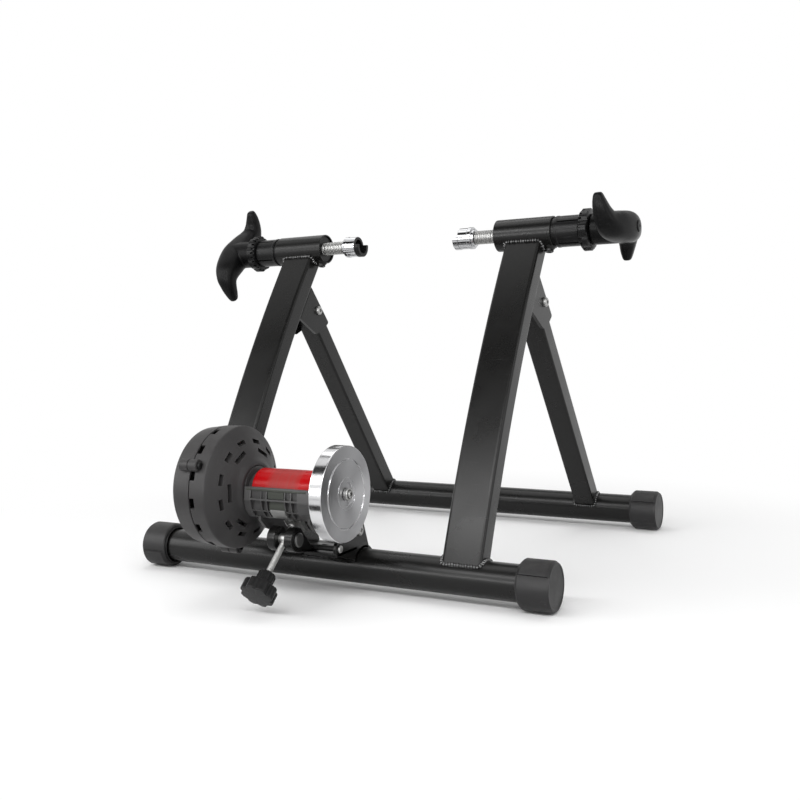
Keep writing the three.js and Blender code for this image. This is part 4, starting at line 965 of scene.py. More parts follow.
def housingPiece(side, sign):
    start, end = clamps["housing"]
    radius, bore = clamps["housingRadius"], clamps["bore"]
    place = clampPlace(sign)
    pipe = lathe(f"{side}_clamp_tube", rounded(tubeProfile(start, end, bore, radius), clamps["edge"]), place,
                 clamps["steps"])
    lugPlace, lugAngle = clamps["lugs"][side]
    reach, lug = clamps["lugReach"], clamps["lugRadius"]
    profile = [(bore + 0.6, 0), (bore + 0.6, clamps["lugFlare"]), (radius + 0.4, clamps["lugFlare"] - 1)]
    profile += [(radius + 1.6, lug + 0.4), (radius + 2.6, lug), (reach - 0.8, lug), (reach, lug - 0.8)]
    profile += [(reach, clamps["lugHole"] + 0.4), (reach - 0.5, clamps["lugHole"]),
                (reach - 2.5, clamps["lugHole"]), (reach - 2.5, 0)]
    boss = lathe("lug", profile, place @ shift(lugPlace, 0, 0) @ turned(lugAngle) @ turned(90, "Z"), 48)
    piece = joinPieces(f"{side}_clamp_tube", [pipe, boss])
    dress(piece, "glossPaint", "frame", f"{side}_clamp_housing")


def sleevePiece(side, sign):
    start = clamps["housing"][0] + clamps["setBack"]
    collarStart, end = clamps["collar"]
    radius, barrel = clamps["collarRadius"], clamps["barrel"]
    bore, spigot = clamps["sleeveBore"], clamps["sleeveRadius"]
    lip = collarStart + clamps["collarLip"]
    profile = [(start, bore), (start, spigot), (collarStart, spigot), (collarStart, radius), (lip, radius),
               (lip + 0.6, barrel), (end - 1.4, barrel), (end, barrel - 1), (end, bore), (start, bore)]
    piece = lathe(f"{side}_split_sleeve", rounded(profile, clamps["sleeveEdge"]), clampPlace(sign),
                  clamps["steps"])
    half = clamps["slotWidth"] / 2
    tools = [block(f"slot{angle}", (clamps["slotStart"], -half, -2 * radius), (end + 5, half, 2 * radius),
                   clampPlace(sign) @ turned(clamps["slotAngle"] + angle)) for angle in (0, 90)]
    combine(piece, tools)
    dress(piece, "mattePlastic", "frame", f"{side}_guide_sleeve")


def lockRingPiece(side, sign):
    start, end = clamps["ring"]
    ease, radius = clamps["ringChamfer"], clamps["ringRadius"]
    face, bore = clamps["ringFace"], clamps["ringBore"]
    rows = [
        (start, bore, 0), (start, face, 0), (start + ease * 0.35, radius - ease * 0.9, 0),
        (start + ease, radius, 0), (end - ease, radius, 0), (end - ease * 0.35, radius - ease * 0.9, 0),
        (end, face, 0), (end, bore + 5, 0), (end - 1.5, bore + 4, 0), (end - 1.5, bore, 0), (start, bore, 0)]
    piece = polar(f"{side}_lobed_ring", lobedOutline(radius, clamps["ringDepth"], clamps["ringLobes"]),
                  rows, clampPlace(sign))
    notch = block("notch", (start - 1, -clamps["notchWidth"] / 2, clamps["notchFloor"]),
                  (start + clamps["notchLength"], clamps["notchWidth"] / 2, 2 * radius))
    tool = growPiece("notches", ringOfCopies, "mattePlastic", {
        "Count": clamps["notches"], "First": 0.0, "Step": fullTurn / clamps["notches"]}, notch)
    combine(piece, [carry(tool, clampPlace(sign))])
    soften(piece, clamps["ringEdge"], angle=40)
    dress(piece, "mattePlastic", f"{side}_ring", f"{side}_lock_ring")


spindles = {
    "tip": 84, "shoulder": 95.3, "end": 285.3, "neck": 5.5, "root": 7.6, "thread": (96, 171),
    "pitch": 2.5, "ridge": 1.05, "steps": 64,
}


def threadPiece(name, start, end, root, ridge, pitch, place, finish):
    piece = growPiece(name, screwThread, finish, {
        "Root radius": root * mm, "Turns": (end - start) / pitch, "Length": (end - start) * mm,
        "Ridge radius": ridge * mm})
    return carry(piece, place @ shift(start, 0, 0) @ turned(90, "Y"))


def spindlePiece(side, sign):
    tip, shoulder, end = spindles["tip"], spindles["shoulder"], spindles["end"]
    neck, root = spindles["neck"], spindles["root"]
    place = clampPlace(sign)
    core = lathe("core", [(tip, 0), (tip, neck - 0.4), (tip + 0.4, neck), (shoulder, neck),
                          (shoulder, root), (end, root), (end, 0)], place, spindles["steps"])
    start, stop = spindles["thread"]
    thread = threadPiece("thread", start, stop, root - 0.05, spindles["ridge"], spindles["pitch"], place,
                         "zincSteel")
    piece = joinPieces(f"{side}_threaded_spindle", [core, thread])
    dress(piece, "zincSteel", f"{side}_screw", f"{side}_spindle")


cups = {
    "lip": 68, "start": 75, "back": 92, "collarEnd": 95, "radius": 13.8, "wall": 1.3, "collar": 11,
    "bore": 9.5, "boreEnd": 83, "neck": 5.8, "gap": 0.3, "edge": 0.7, "steps": 96, "step": 0.5,
    # The half lip is chrome on the right; on the left it is black plastic, painted shade where that cup's
    # mouth is dark inside
    "shoulder": 87, "lipFinishAndShade": {"left": "mattePlastic", "right": "chrome"},
}


def cupPieces(side, sign):
    place = clampPlace(sign)
    lip, start, back, end = cups["lip"], cups["start"], cups["back"], cups["collarEnd"]
    neck, bore, gap = cups["neck"], cups["bore"], cups["gap"]
    radius, inside = cups["radius"], cups["radius"] - cups["wall"]
    floor, step = back - cups["wall"], radius - cups["step"]
    profile = [(start, inside), (start, step), (cups["shoulder"], step), (cups["shoulder"] + 0.4, radius),
               (back, radius), (back, cups["collar"]), (end, cups["collar"]), (end, neck), (floor, neck),
               (floor, inside), (start, inside)]
    shell = lathe(f"{side}_chrome_cup", rounded(profile, cups["edge"]), place, cups["steps"])
    dress(shell, "chrome", f"{side}_cup", f"{side}_cup_shell")
    plugRadius, plugBack = inside - gap, floor - gap
    plug = lathe("plug", rounded([
        (start, bore), (start, plugRadius), (plugBack, plugRadius), (plugBack, neck),
        (cups["boreEnd"], neck), (cups["boreEnd"], bore), (start, bore)], 0.5), place, cups["steps"])
    ring = lathe("ring", rounded([
        (lip, bore), (lip, radius), (start - gap, radius), (start - gap, plugRadius),
        (start + 1, plugRadius), (start + 1, bore), (lip, bore)], 0.6), place, cups["steps"])
    upper = block("upper", (lip - 5, -2 * radius, bore / 4), (start - gap, 2 * radius, 2 * radius), place)
    combine(ring, [upper])
    plug.name = f"{side}_cup_liner"
    dress(plug, "mattePlastic", f"{side}_cup", f"{side}_cup_core")
    # The left half lip is painted shade in black plastic; the right one is chrome
    ring.name = f"{side}_half_lip"
    dress(ring, cups["lipFinishAndShade"][side], f"{side}_cup")


# Winged handles: along one wing its reach, sweep and half width, then crest, edges and underside
handles = {
    "start": 243.6, "reach": 68, "sweep": 19, "tipInset": 258, "rise": 39, "halfWidth": 18.5,
    "hub": 18.5, "hubShare": 0.5, "socket": 9, "socketDepth": 42, "cap": 7, "capDepth": 2,
    "capThickness": 2.5, "angles": {"left": 108, "right": 148}, "between": 7, "ringPoints": 40,
    "voxel": 1.0, "smoothing": 4, "squareness": 0.75, "capFit": 0.4, "capLift": 0.3,
    # The lid's edge, down from its top and in from its rim, and the dimple in its middle, by radius
    "lidEdge": [(0.9, 0), (0.3, 0.35), (0, 1.1)], "dimple": [(0, 2.4), (0.5, 1.6), (0.5, 0)],
    "wing": [
        (0, 0, 1, 1, 0.58, 0), (0.22, 0.5, 0.95, 0.95, 0.52, 0), (0.44, 0.92, 0.84, 0.84, 0.44, 0.02),
        (0.62, 1, 0.7, 0.71, 0.38, 0.05), (0.76, 0.8, 0.57, 0.58, 0.32, 0.05),
        (0.88, 0.47, 0.46, 0.47, 0.28, 0.06), (0.97, 0.16, 0.33, 0.38, 0.25, 0.1),
        (1, 0.05, 0.22, 0.33, 0.25, 0.15)],
}


def smoothStations(rows, between):
    dense = []
    for i in range(len(rows) - 1):
        around = [rows[max(i - 1, 0)], rows[i], rows[i + 1], rows[min(i + 2, len(rows) - 1)]]
        for s in range(between):
            t = s / between
            weights = (-0.5 * t + t ** 2 - 0.5 * t ** 3, 1 - 2.5 * t ** 2 + 1.5 * t ** 3,
                       0.5 * t + 2 * t ** 2 - 1.5 * t ** 3, -0.5 * t ** 2 + 0.5 * t ** 3)
            dense.append([sum(w * row[k] for w, row in zip(weights, around)) for k in range(len(rows[0]))])
    return dense + [list(rows[-1])]


def squared(value):
    return math.copysign(abs(value) ** handles["squareness"], value)


def handlePiece(side, sign):
    place = clampPlace(sign) @ turned(handles["angles"][side])
    other = [(-row[0], -row[1], *row[2:]) for row in reversed(handles["wing"][1:])]
    line = smoothStations(other + handles["wing"], handles["between"])
    spots = [Vector((row[0] * handles["reach"], row[1] * handles["sweep"])) for row in line]
    rings = []
    for i, (_, _, half, crest, edge, under) in enumerate(line):
        along = (spots[min(i + 1, len(line) - 1)] - spots[max(i - 1, 0)]).normalized()
        ring = []
        for n in range(handles["ringPoints"]):
            angle = fullTurn * n / handles["ringPoints"]
            bulge = (crest - edge if angle < math.pi else edge - under) * squared(math.sin(angle))
            across = half * handles["halfWidth"] * squared(math.cos(angle))
            ring.append((handles["tipInset"] + (edge + bulge) * handles["rise"],
                         spots[i].x - across * along.y, spots[i].y + across * along.x))
        rings.append(ring)
    piece = skinRings(f"{side}_winged_handle", rings, place, capped=True)
    start, radius = handles["start"], handles["hub"]
    hubEnd = handles["tipInset"] + handles["hubShare"] * handles["rise"]
    hub = bar("hub", start, hubEnd, radius, place, 64)
    combine(piece, [hub], "UNION")
    remesh = piece.modifiers.new("remesh", "REMESH")
    remesh.mode = "VOXEL"
    remesh.voxel_size = handles["voxel"] * mm
    smooth = piece.modifiers.new("smooth", "SMOOTH")
    smooth.factor = 0.5
    smooth.iterations = handles["smoothing"]
    bake(piece)
    crest = handles["tipInset"] + handles["rise"]
    seat = crest - handles["capDepth"]
    combine(piece, [bar("socket", start - 5, start + handles["socketDepth"], handles["socket"], place, 48),
                    bar("recess", seat, crest + 5, handles["cap"] + handles["capFit"], place, 64)])
    dress(piece, "handlePlastic", f"{side}_screw", f"{side}_handle", crease=50)
    floor = seat + handles["capLift"]
    top, cap = floor + handles["capThickness"], handles["cap"]
    profile = [(floor, 0), (floor, cap)]
    profile += [(top - down, cap - inset) for down, inset in handles["lidEdge"]]
    profile += [(top - down, radius) for down, radius in handles["dimple"]]
    lid = lathe(f"{side}_handle_lid", profile, place, 64)
    dress(lid, "handlePlastic", f"{side}_screw", f"{side}_handle_cap")


for side, sign in sides.items():
    housingPiece(side, sign)
    sleevePiece(side, sign)
    lockRingPiece(side, sign)
    spindlePiece(side, sign)
    cupPieces(side, sign)
    handlePiece(side, sign)
print("stage: screw clamps")

# Bracket on the front tube that carries the resistance unit
unitBrackets = {
    "left": -27, "right": 41, "sheet": 4, "ribFoot": 6, "saddle": (23, 19.3, 62, 156),
    "hinge": (-8, 40.8, 11.5), "bolt": (-50, 28.8, 8), "tray": (-56, 20.8, 24.8, -14),
    "ears": (-81, 42.3, 13, 10), "earSpacing": 11.6, "earFoot": -19, "screwPlane": -6, "slotEnd": -31,
    "ribs": 3, "ribThickness": 2.5, "ribBack": -18.4, "soft": 0.7, "earSoft": 1.2,
    # Radius, head radius and head length of the bolts, radius and bore of the nut
    "rivet": (3, 4, 2), "pin": (4, 6, 2), "nut": (7, 4.2),
}


def unitBracketPiece():
    look = unitBrackets
    place = onAxis(frontTube)
    seat, bore, rear, front = look["saddle"]
    hingeY, hingeZ, hingeRadius = look["hinge"]
    boltY, boltZ, boltRadius = look["bolt"]
    trayFront, trayLow, trayTop, trayBack = look["tray"]
    earY, earZ, earRadius, earThickness = look["ears"]
    left, right, sheet, soft = look["left"], look["right"], look["sheet"], look["soft"]
    saddle = arc(seat, rear, front, 48) + arc(bore, front, rear, 48)
    cheek = arc(hingeRadius, 30, 120, 16, hingeY, hingeZ) + arc(boltRadius, 90, 270, 16, boltY, boltZ)
    cheek += arc(bore, 150, 20, 20) + arc(seat + 0.5, 20, 62, 10)
    parts = [
        soften(prism("saddle", saddle, left, right, place), soft),
        soften(prism("leftCheek", cheek, left, left + sheet, place), soft),
        soften(prism("rightCheek", cheek, right - sheet, right, place), soft)]
    near = look["earSpacing"] / 2
    tray = block("tray", (left, trayFront, trayLow), (right, trayBack, trayTop), place)
    slot = block("slot", (look["screwPlane"] - near, trayFront - 5, -30),
                 (look["screwPlane"] + near, look["slotEnd"], 70), place)
    parts.append(soften(combine(tray, [slot]), soft))
    first = look["screwPlane"] + near + earThickness
    pitch = (right - sheet - first) / (look["ribs"] + 1)
    back = look["ribBack"]
    rib = prism("rib", [(trayFront, trayLow + 0.5), (back, look["ribFoot"]), (back, trayTop)], 0,
                look["ribThickness"], place)
    parts.append(growPiece("ribs", rowOfCopies, "glossPaint", {
        "Count": look["ribs"], "First": (first + pitch) * mm, "Step": pitch * mm}, rib))
    for side in (-1, 1):
        start, end = sorted((look["screwPlane"] + side * near,
                             look["screwPlane"] + side * (near + earThickness)))
        outline = arc(earRadius, 60, 262, 40, earY, earZ)
        foot = look["earFoot"]
        outline += [(foot, trayLow - 4), (foot, trayTop), (boltY, trayTop),
                    (earY + earRadius * 0.9, earZ + 5)]
        parts.append(soften(prism(f"ear{side}", outline, start, end, place), look["earSoft"], 3, 40))
    piece = joinPieces("unit_folded_bracket", parts)
    dress(piece, "glossPaint", "frame", "unit_bracket", crease=30)


def unitFasteners():
    for name, node, body, key in (("tray_rivet", "bracket_bolt", "frame", "rivet"),
                                  ("unit_hinge_bolt", "unit_hinge_pin", "unit", "pin")):
        low, high = spanOf(node)
        radius, headRadius, headLength = unitBrackets[key]
        seat = high.x - headLength
        piece = boltPiece(name, low.x, seat, radius, headRadius, headLength, onAxis(middleOf(node)),
                          socket=key == "pin")
        dress(piece, "zincSteel", body, node)
        # The shank gets near-black steel, painted shade where it runs between other parts; only the head
        # keeps the zinc finish
        refinish(piece, "shadedShankSteel", lambda spot, normal: spot.x < seat - 0.1)
    low, high = spanOf("unit_hinge_nut")
    piece = nutPiece("unit_hinge_hex_nut", low.x, high.x, *unitBrackets["nut"], onAxis(hingeAxis))
    dress(piece, "zincSteel", "unit", "unit_hinge_nut")


unitBracketPiece()
unitFasteners()

# Adjusting screw, drawn along -X from the cross nut to the knob
adjusters = {
    "angle": 41, "crossRadius": 5.5, "crossEnd": 7.5, "crossEndLength": 2.2, "crossHalf": 16.1,
    "rod": 3.3, "rodReach": 18.4, "ball": 5, "ballCentre": 17, "ballSeat": 16.4,
    "pitch": 1.25, "ridge": 0.5, "knobStart": 44.5, "hubLength": 14.5, "gripLength": 13, "hub": 9.5,
    "grip": 18.5, "lobes": 8, "lobeDepth": 2.6, "flutes": 8, "fluteDepth": 1.3, "rodEnd": 62.2,
    "plate": (22.3, 2.5), "plateHalf": 11, "plateUp": 6.2, "plateDown": 17.6, "plateSoft": 0.5,
    # The grip's edge, in from its face, down from its top and inset, then the clip's lips:
    # their thickness, reach and what they leave free at each end
    "gripEdge": [(0, 2.6, 0.9), (0.5, 0, 0.35), (1.4, 0, 0)], "lip": (1.4, 2.6, 2),
}


# +X here is up along the rod, +Z stays in the plane of the wheel
def adjusterPlace():
    return shift(*crossAxis) @ turned(adjusters["angle"]) @ turned(90, "Z")


def adjusterPieces():
    look = adjusters
    place = adjusterPlace()
    half, end = look["crossHalf"], look["crossEnd"]
    tip = half + look["crossEndLength"]
    barrel = lathe("cross_nut_barrel", [
        (-tip, 0), (-tip, end - 1), (-tip + 0.8, end), (-half, end), (-half, look["crossRadius"]),
        (half, look["crossRadius"]), (half, end), (tip - 0.8, end), (tip, end - 1), (tip, 0)],
        shift(*crossAxis), 64)
    dress(barrel, "zincSteel", "frame", "cross_nut")
    refinish(barrel, "greyEnd", lambda spot, normal: abs(spot.x - crossAxis.x) > half + 0.5)
    rod, seat = look["rod"], look["ballSeat"] - 0.3
    core = rod - look["ridge"] * 0.9
    stem = lathe("stem", [(-look["rodEnd"], 0), (-look["rodEnd"], core), (seat, core),
                          (seat, rod - 1), (look["rodReach"], rod - 1), (look["rodReach"], 0)], place, 40)
    thread = threadPiece("thread", -look["knobStart"] - 3, seat - 1, core, look["ridge"], look["pitch"],
                         place, "zincSteel")
    piece = joinPieces("threaded_adjusting_rod", [stem, thread])
    dress(piece, "zincSteel", "adjuster", "adjusting_rod")
    centre, ball = look["ballCentre"], look["ball"]
    profile = [(look["ballSeat"], rod - 0.7), (look["ballSeat"], rod + 1)]
    start = math.asin((rod + 1) / ball) - math.pi / 2
    for i in range(13):
        angle = start + (math.pi / 2 - start) * i / 12
        profile.append((centre + ball * math.sin(angle), ball * math.cos(angle)))
    profile += [(look["rodReach"] + 0.3, 0), (look["rodReach"] + 0.3, rod - 0.7),
                (look["ballSeat"], rod - 0.7)]
    piece = lathe("screw_ball", profile, place, 48)
    dress(piece, "zincSteel", "rod_tip", "ball_tip")


# A star knob: lobed grip with a flat face, and a fluted hub
def knobPiece():
    look = adjusters
    place = adjusterPlace()
    start, rod, top = -look["knobStart"], look["rod"], look["grip"]
    hubEnd = start - look["hubLength"]
    back = hubEnd - look["gripLength"]
    outline = lobedOutline(top, look["lobeDepth"], look["lobes"], 20)
    rows = [(back, 0, 0)] + [(back + into, top - down, inset) for into, down, inset in look["gripEdge"]]
    rows += [(hubEnd - into, top - down, inset) for into, down, inset in reversed(look["gripEdge"])]
    grip = polar("grip", outline, rows + [(hubEnd, 0, 0)], place)
    hubOutline = lobedOutline(look["hub"], look["fluteDepth"], look["flutes"], 20)
    hub = polar("hub", hubOutline, [
        (hubEnd - 2, 0, 0), (hubEnd - 2, look["hub"], 0), (start - 1, look["hub"], 0),
        (start, look["hub"] - 1, 0.4), (start, rod + 1, 0), (start - 3, rod + 0.3, 0), (start - 3, 0, 0)],
        place)
    combine(grip, [hub], "UNION")
    grip.name = "star_knob_grip"
    dress(grip, "mattePlastic", "adjuster", "star_knob", crease=42)


# The clip under the cradle that the screw's ball pushes on: a plate with two folded lips
def clipPiece():
    look = adjusters
    near, thickness = look["plate"]
    half = look["plateHalf"]
    place = shift(*crossAxis) @ turned(look["angle"])
    plate = block("plate", (-half, near, -look["plateDown"]), (half, near + thickness, look["plateUp"]),
                  place)
    lipThickness, lipReach, free = look["lip"]
    lips = []
    for side in (-1, 1):
        start, end = sorted((side * half, side * (half - lipThickness)))
        lips.append(block(f"lip{side}", (start, near - lipReach, free - look["plateDown"]),
                          (end, near + 1, look["plateUp"] - free), place))
    combine(plate, lips, "UNION")
    soften(plate, look["plateSoft"], angle=40)
    plate.name = "screw_clip"
    dress(plate, "zincSteel", "unit", "pressure_clip")


adjusterPieces()
knobPiece()
clipPiece()
print("stage: unit bracket and adjusting screw")

# Roller cradle, drawn round the roller's axis
cradles = {
    "half": 46, "radius": 30, "trough": 23.6, "wallInner": 40, "boss": 17, "spigot": (52, 23.5),
    "bearing": (11.3, 5), "shaftHole": 6, "arm": 4, "armInset": 29, "hingeRadius": 11.5, "soft": 1.0,
    "corner": 2.0, "spigotEdge": 0.6, "armSoft": 0.6, "flangeSoft": 0.5, "thinSoft": 0.4,
    "outline": [(-0.82, 0.2), (-0.86, 0), (-0.9, -0.3), (-0.8, -0.66), (-0.56, -0.93), (0.3, -0.93),
                (0.78, -0.72), (0.94, -0.4), (0.94, -0.12), (0.8, -0.1)],
    "armWeb": [(1, -0.5), (-0.66, -0.5), (-0.66, -1), (-0.33, -1.33), (0.33, -1.6)],
    "columns": [(-0.8, 0.28), (-0.5, 0.12), (-0.35, 0.47), (0.15, 0.13), (0.315, 0.15)],
    "rows": [(2.4, 8.5, 2.4), (-7.9, 10.4, 4.6), (-19.6, 6.2, 9.5)],
    "flange": (-0.93, 0.62, 1.4, 2.0), "flangeDrop": 2, "flangeRoot": 1.5, "panel": 2,
    "tab": (-13, 5.5, 1.3),
    "tabLine": [(-25.6, -17), (-24.9, -20.4), (-20.2, -25.6), (-17.6, -27.2)],
}


def cradlePieces():
    look = cradles
    place = onAxis(rollerAxis)
    radius, half = look["radius"], look["half"]
    outline = [(y * radius, z * radius) for y, z in look["outline"]]
    piece = prism("pocketed_cradle", rounded(outline + [outline[0]], look["corner"])[:-1], -half, half,
                  place)
    soften(piece, look["soft"], 3, 40)
    spigotEnd, spigot = look["spigot"]
    inner = look["wallInner"]
    added = [
        lathe("spigot", rounded([(-spigotEnd, 0), (-spigotEnd, spigot), (-half, spigot), (-half, 0)],
                                look["spigotEdge"]), place),
        bar("leftBoss", -half, -inner, look["boss"], place),
        bar("rightBoss", inner, half, look["boss"], place)]
    hingeY, hingeZ = hingeAxis.y - rollerAxis.y, hingeAxis.z - rollerAxis.z
    web = [(y * radius, z * radius) for y, z in look["armWeb"]]
    for side in (-1, 1):
        near, far = side * look["armInset"], side * (look["armInset"] + look["arm"])
        arm = prism(f"arm{side}", arc(look["hingeRadius"], -120, 60, 24, hingeY, hingeZ) + web,
                    min(near, far), max(near, far), place)
        added.append(soften(arm, look["armSoft"], angle=40))
    combine(piece, added, "UNION")
    front = radius * look["outline"][2][0]
    pockets = []
    for start, width in look["columns"]:
        for top, height, depth in look["rows"]:
            pockets.append(block("pocket", (start * half, front - 5, top - height),
                                 ((start + width) * half, front + depth, top), place))
    bearing, bearingLength = look["bearing"]
    tools = [
        joinPieces("pockets", pockets),
        bar("trough", -inner, inner, look["trough"], place, 120),
        bar("shaftHole", -90, 90, look["shaftHole"], place),
        bar("leftSeat", -half, bearingLength - inner, bearing, place),
        bar("rightSeat", inner - bearingLength, half + 5, bearing, place)]
    combine(piece, tools)
    dress(piece, "cradlePlastic", "unit", "roller_cradle", crease=30)

    # A flange along the top of the front wall, and the plain panel behind the wide pockets
    start, width, out, thick = look["flange"]
    edgeY, edgeZ = outline[0]
    drop = look["flangeDrop"]
    flange = block("cradle_top_flange", (start * half, edgeY - out, edgeZ - thick - drop),
                   ((start + width) * half + half, edgeY + look["flangeRoot"], edgeZ - drop), place)
    soften(flange, look["flangeSoft"])
    dress(flange, "olivePlastic", "unit")
    start, width = look["columns"][look["panel"]]
    strips = []
    for top, height, depth in look["rows"][:2]:
        strips.append(block("strip", (start * half + 0.8, front + depth - 1.2, top - height + 0.6),
                            ((start + width) * half - 0.8, front + depth + 0.4, top - 0.6), place))
    panel = joinPieces("cradle_olive_panel", [soften(strip, look["thinSoft"]) for strip in strips])
    dress(panel, "olivePlastic", "unit")

    # The bent tab of the steel clip shows in front of the lowest wide pocket
    left, right, thickness = look["tab"]
    front = look["tabLine"]
    back = [(y + thickness, z + thickness * 0.4) for y, z in reversed(front)]
    tab = soften(prism("clip_bent_tab", front + back, left, right, place), look["thinSoft"])
    dress(tab, "dullZinc", "unit")


cradlePieces()

# Magnet housing: two shells that meet at a split, with vents, screw bosses and screws
shells = {
    "rim": 66, "backRadius": 63.2, "split": 87.3, "shoulder": 67.6, "back": 113, "wall": 3,
    "domeFlat": 31, "spigot": 23.8, "face": 46.3, "splitGap": 0.7, "steps": 160, "edge": 1.6,
    "rimVents": (14, 0.785, 11, 6.5), "outerVents": (12, 0.43, 47.7, 12, 4.6),
    "innerVents": (6, 0.5, 37.8, 19, 4.6), "dome": [(-64.5, 61.5), (-58, 50.5), (-53, 40.5), (-49.8, 33)],
    "neck": (-46.3, 27.2),
    "bosses": (3, 153, 68, 6.5, 11), "screw": (2.2, 4, 2.5),
}


def ventTools(count, first, start, end, inner, outer, width, place):
    tool = block("vent", (start, -width / 2, inner), (end, width / 2, outer))
    return carry(growPiece("vents", ringOfCopies, "charcoalPlastic", {
        "Count": count, "First": fullTurn * first / count, "Step": fullTurn / count}, tool), place)


def bossRing(name, start, end, radius, place, ease=0.0):
    count, angle, circle = shells["bosses"][:3]
    profile = [(start, 0), (start, radius - ease), (start + ease, radius), (end - ease, radius),
               (end, radius - ease), (end, 0)]
    boss = lathe(name, profile, shift(0, 0, circle), 40)
    return carry(growPiece(name, ringOfCopies, "charcoalPlastic", {
        "Count": count, "First": math.radians(angle - 90), "Step": fullTurn / count}, boss), place)


def shellPieces():
    look = shells
    place = onAxis(rollerAxis)
    rim, wall, shoulder = look["rim"], look["wall"], -look["shoulder"]
    edge = -look["split"] + look["splitGap"] / 2
    flat, face = look["domeFlat"], -look["face"]
    bossRadius, bossLength = look["bosses"][3:]
    inner = lathe("magnet_shell_inner", rounded([
        (edge, rim - wall), (edge, rim), (shoulder, rim), *look["dome"], look["neck"],
        (face, look["spigot"]), (face - wall, look["spigot"]), (face - 2 * wall, flat - wall),
        (shoulder - wall, rim - wall), (edge, rim - wall)], look["edge"], 4), place, look["steps"])
    inside = [(edge - 9, 0), (edge - 9, rim - wall), (shoulder - wall, rim - wall),
              (face - 2 * wall, flat - wall), (face - 2 * wall, 0)]
    bosses = bossRing("bosses", edge, edge + bossLength, bossRadius, place, 0.6)
    combine(bosses, [lathe("inside", inside, place, look["steps"])])
    tools = []
    for key in ("outerVents", "innerVents"):
        count, first, reach, long, wide = look[key]
        tools.append(ventTools(count, first, shoulder - 6, face + 10, reach, reach + wide, long, place))
    count, first, long, wide = look["rimVents"]
    tools.append(ventTools(count, first, edge - 1, edge + wide, rim - 2 * wall, rim + 5, long, place))
    combine(inner, tools)
    combine(inner, [bosses], "UNION")
    dress(inner, "charcoalPlastic", "unit", "inner_magnet_shell", crease=30)

    edge = -look["split"] - look["splitGap"] / 2
    back, backRadius = -look["back"], look["backRadius"]
    outer = lathe("magnet_shell_outer", rounded([
        (back, 0), (back, backRadius - wall), (back + wall, backRadius), (edge, rim), (edge, rim - wall),
        (back + wall, backRadius - wall - 1), (back + wall, 0)], look["edge"], 4), place, look["steps"])
    inside = [(back + 2, 0), (back + 2, backRadius - wall), (edge + 5, rim - wall), (edge + 5, 0)]
    bosses = bossRing("bosses", edge - bossLength, edge, bossRadius, place, 0.6)
    combine(bosses, [lathe("inside", inside, place, look["steps"])])
    combine(outer, [bosses], "UNION")
    dress(outer, "charcoalPlastic", "unit", "outer_magnet_shell", crease=30)

    radius, headRadius, headLength = look["screw"]
    for i in range(3):
        node = f"shell_screw_{i + 1}"
        low, high = spanOf(node)
        screw = boltPiece(f"shell_fixing_screw_{i + 1}", low.x, high.x - headLength, radius, headRadius,
                          headLength, onAxis(middleOf(node)))
        dress(screw, "mattePlastic", "unit", node)


shellPieces()
print("stage: cradle and magnet housing")

# Roller, flywheel and shaft
driveTrain = {
    "roller": (39, 22, 1.4), "shaft": 5, "flywheel": (50.6, 65, 49.5), "groove": (35.6, 1.6, 1.0),
    "hub": (12.4, 1.0), "ring": (16.5, 0.7, 0.4), "rimEdge": 0.9, "nut": (64.3, 68.8, 6.5, 4.3),
    "shaftEnd": (63.7, 70.7, 4), "socket": (2.4, 3.0), "steps": 180, "rollerSteps": 160,
    "fit": 0.3, "nutEdge": 0.9, "startEase": 0.5, "tipEase": 0.6,
}


def drivePieces():
    look = driveTrain
    place = onAxis(rollerAxis)
    half, radius, edge = look["roller"]
    bore = look["shaft"] + look["fit"]
    roller = lathe("red_friction_roller", rounded(tubeProfile(-half, half, bore, radius), edge, 5), place,
                   look["rollerSteps"])
    dress(roller, "redRoller", "roller_train", "roller_sleeve")

    back, face, radius = look["flywheel"]
    groove, width, depth = look["groove"]
    hub, hubDepth = look["hub"]
    ring, ringWidth, ringDepth = look["ring"]
    profile = [(back, bore), (back, radius), (face, radius)]
    for spot, wide, deep in ((groove, width, depth), (ring, ringWidth, ringDepth)):
        profile += [(face, spot + wide / 2), (face - deep, spot + wide / 2), (face - deep, spot - wide / 2),
                    (face, spot - wide / 2)]
    profile += [(face, hub), (face - hubDepth, hub), (face - hubDepth, bore), (back, bore)]
    wheel = lathe("turned_flywheel", rounded(profile, look["rimEdge"], 4), place, look["steps"])
    dress(wheel, "turnedSteel", "roller_train", "flywheel")
    refinish(wheel, "polishedRim", lambda spot, normal: abs(normal.x) < 0.95 and math.hypot(
        spot.y - rollerAxis.y, spot.z - rollerAxis.z) > hub)

    start, end, nutRadius, nutBore = look["nut"]
    profile = rounded(tubeProfile(start, end, nutBore, nutRadius), look["nutEdge"], 4)
    nut = lathe("flywheel_round_nut", profile, place)
    dress(nut, "zincSteel", "roller_train", "flywheel_nut")

    shoulder, tip, endRadius = look["shaftEnd"]
    start, radius = spanOf("roller_shaft")[0].x, look["shaft"]
    ease, tipEase = look["startEase"], look["tipEase"]
    shaft = lathe("drive_shaft", [
        (start, 0), (start, radius - ease), (start + ease, radius), (shoulder, radius),
        (shoulder, endRadius), (tip - tipEase, endRadius), (tip, endRadius - tipEase), (tip, 0)], place, 48)
    sinkSocket(shaft, tip, *look["socket"], place)
    dress(shaft, "zincSteel", "roller_train", "roller_shaft")


drivePieces()

# Nodes whose shape is right keep it, and get their finish
keptNodes = {
    "rotor_disc": "aluminium", "magnet_plate": "zincSteel", "left_bearing": "zincSteel",
    "right_bearing": "zincSteel", "magnet_1": "ferrite", "magnet_2": "ferrite", "magnet_3": "ferrite",
    "magnet_4": "ferrite",
}
for name, finish in keptNodes.items():
    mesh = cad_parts[name].data
    mesh.materials.clear()
    mesh.materials.append(materials[finish])
print("stage: drive train and kept nodes")

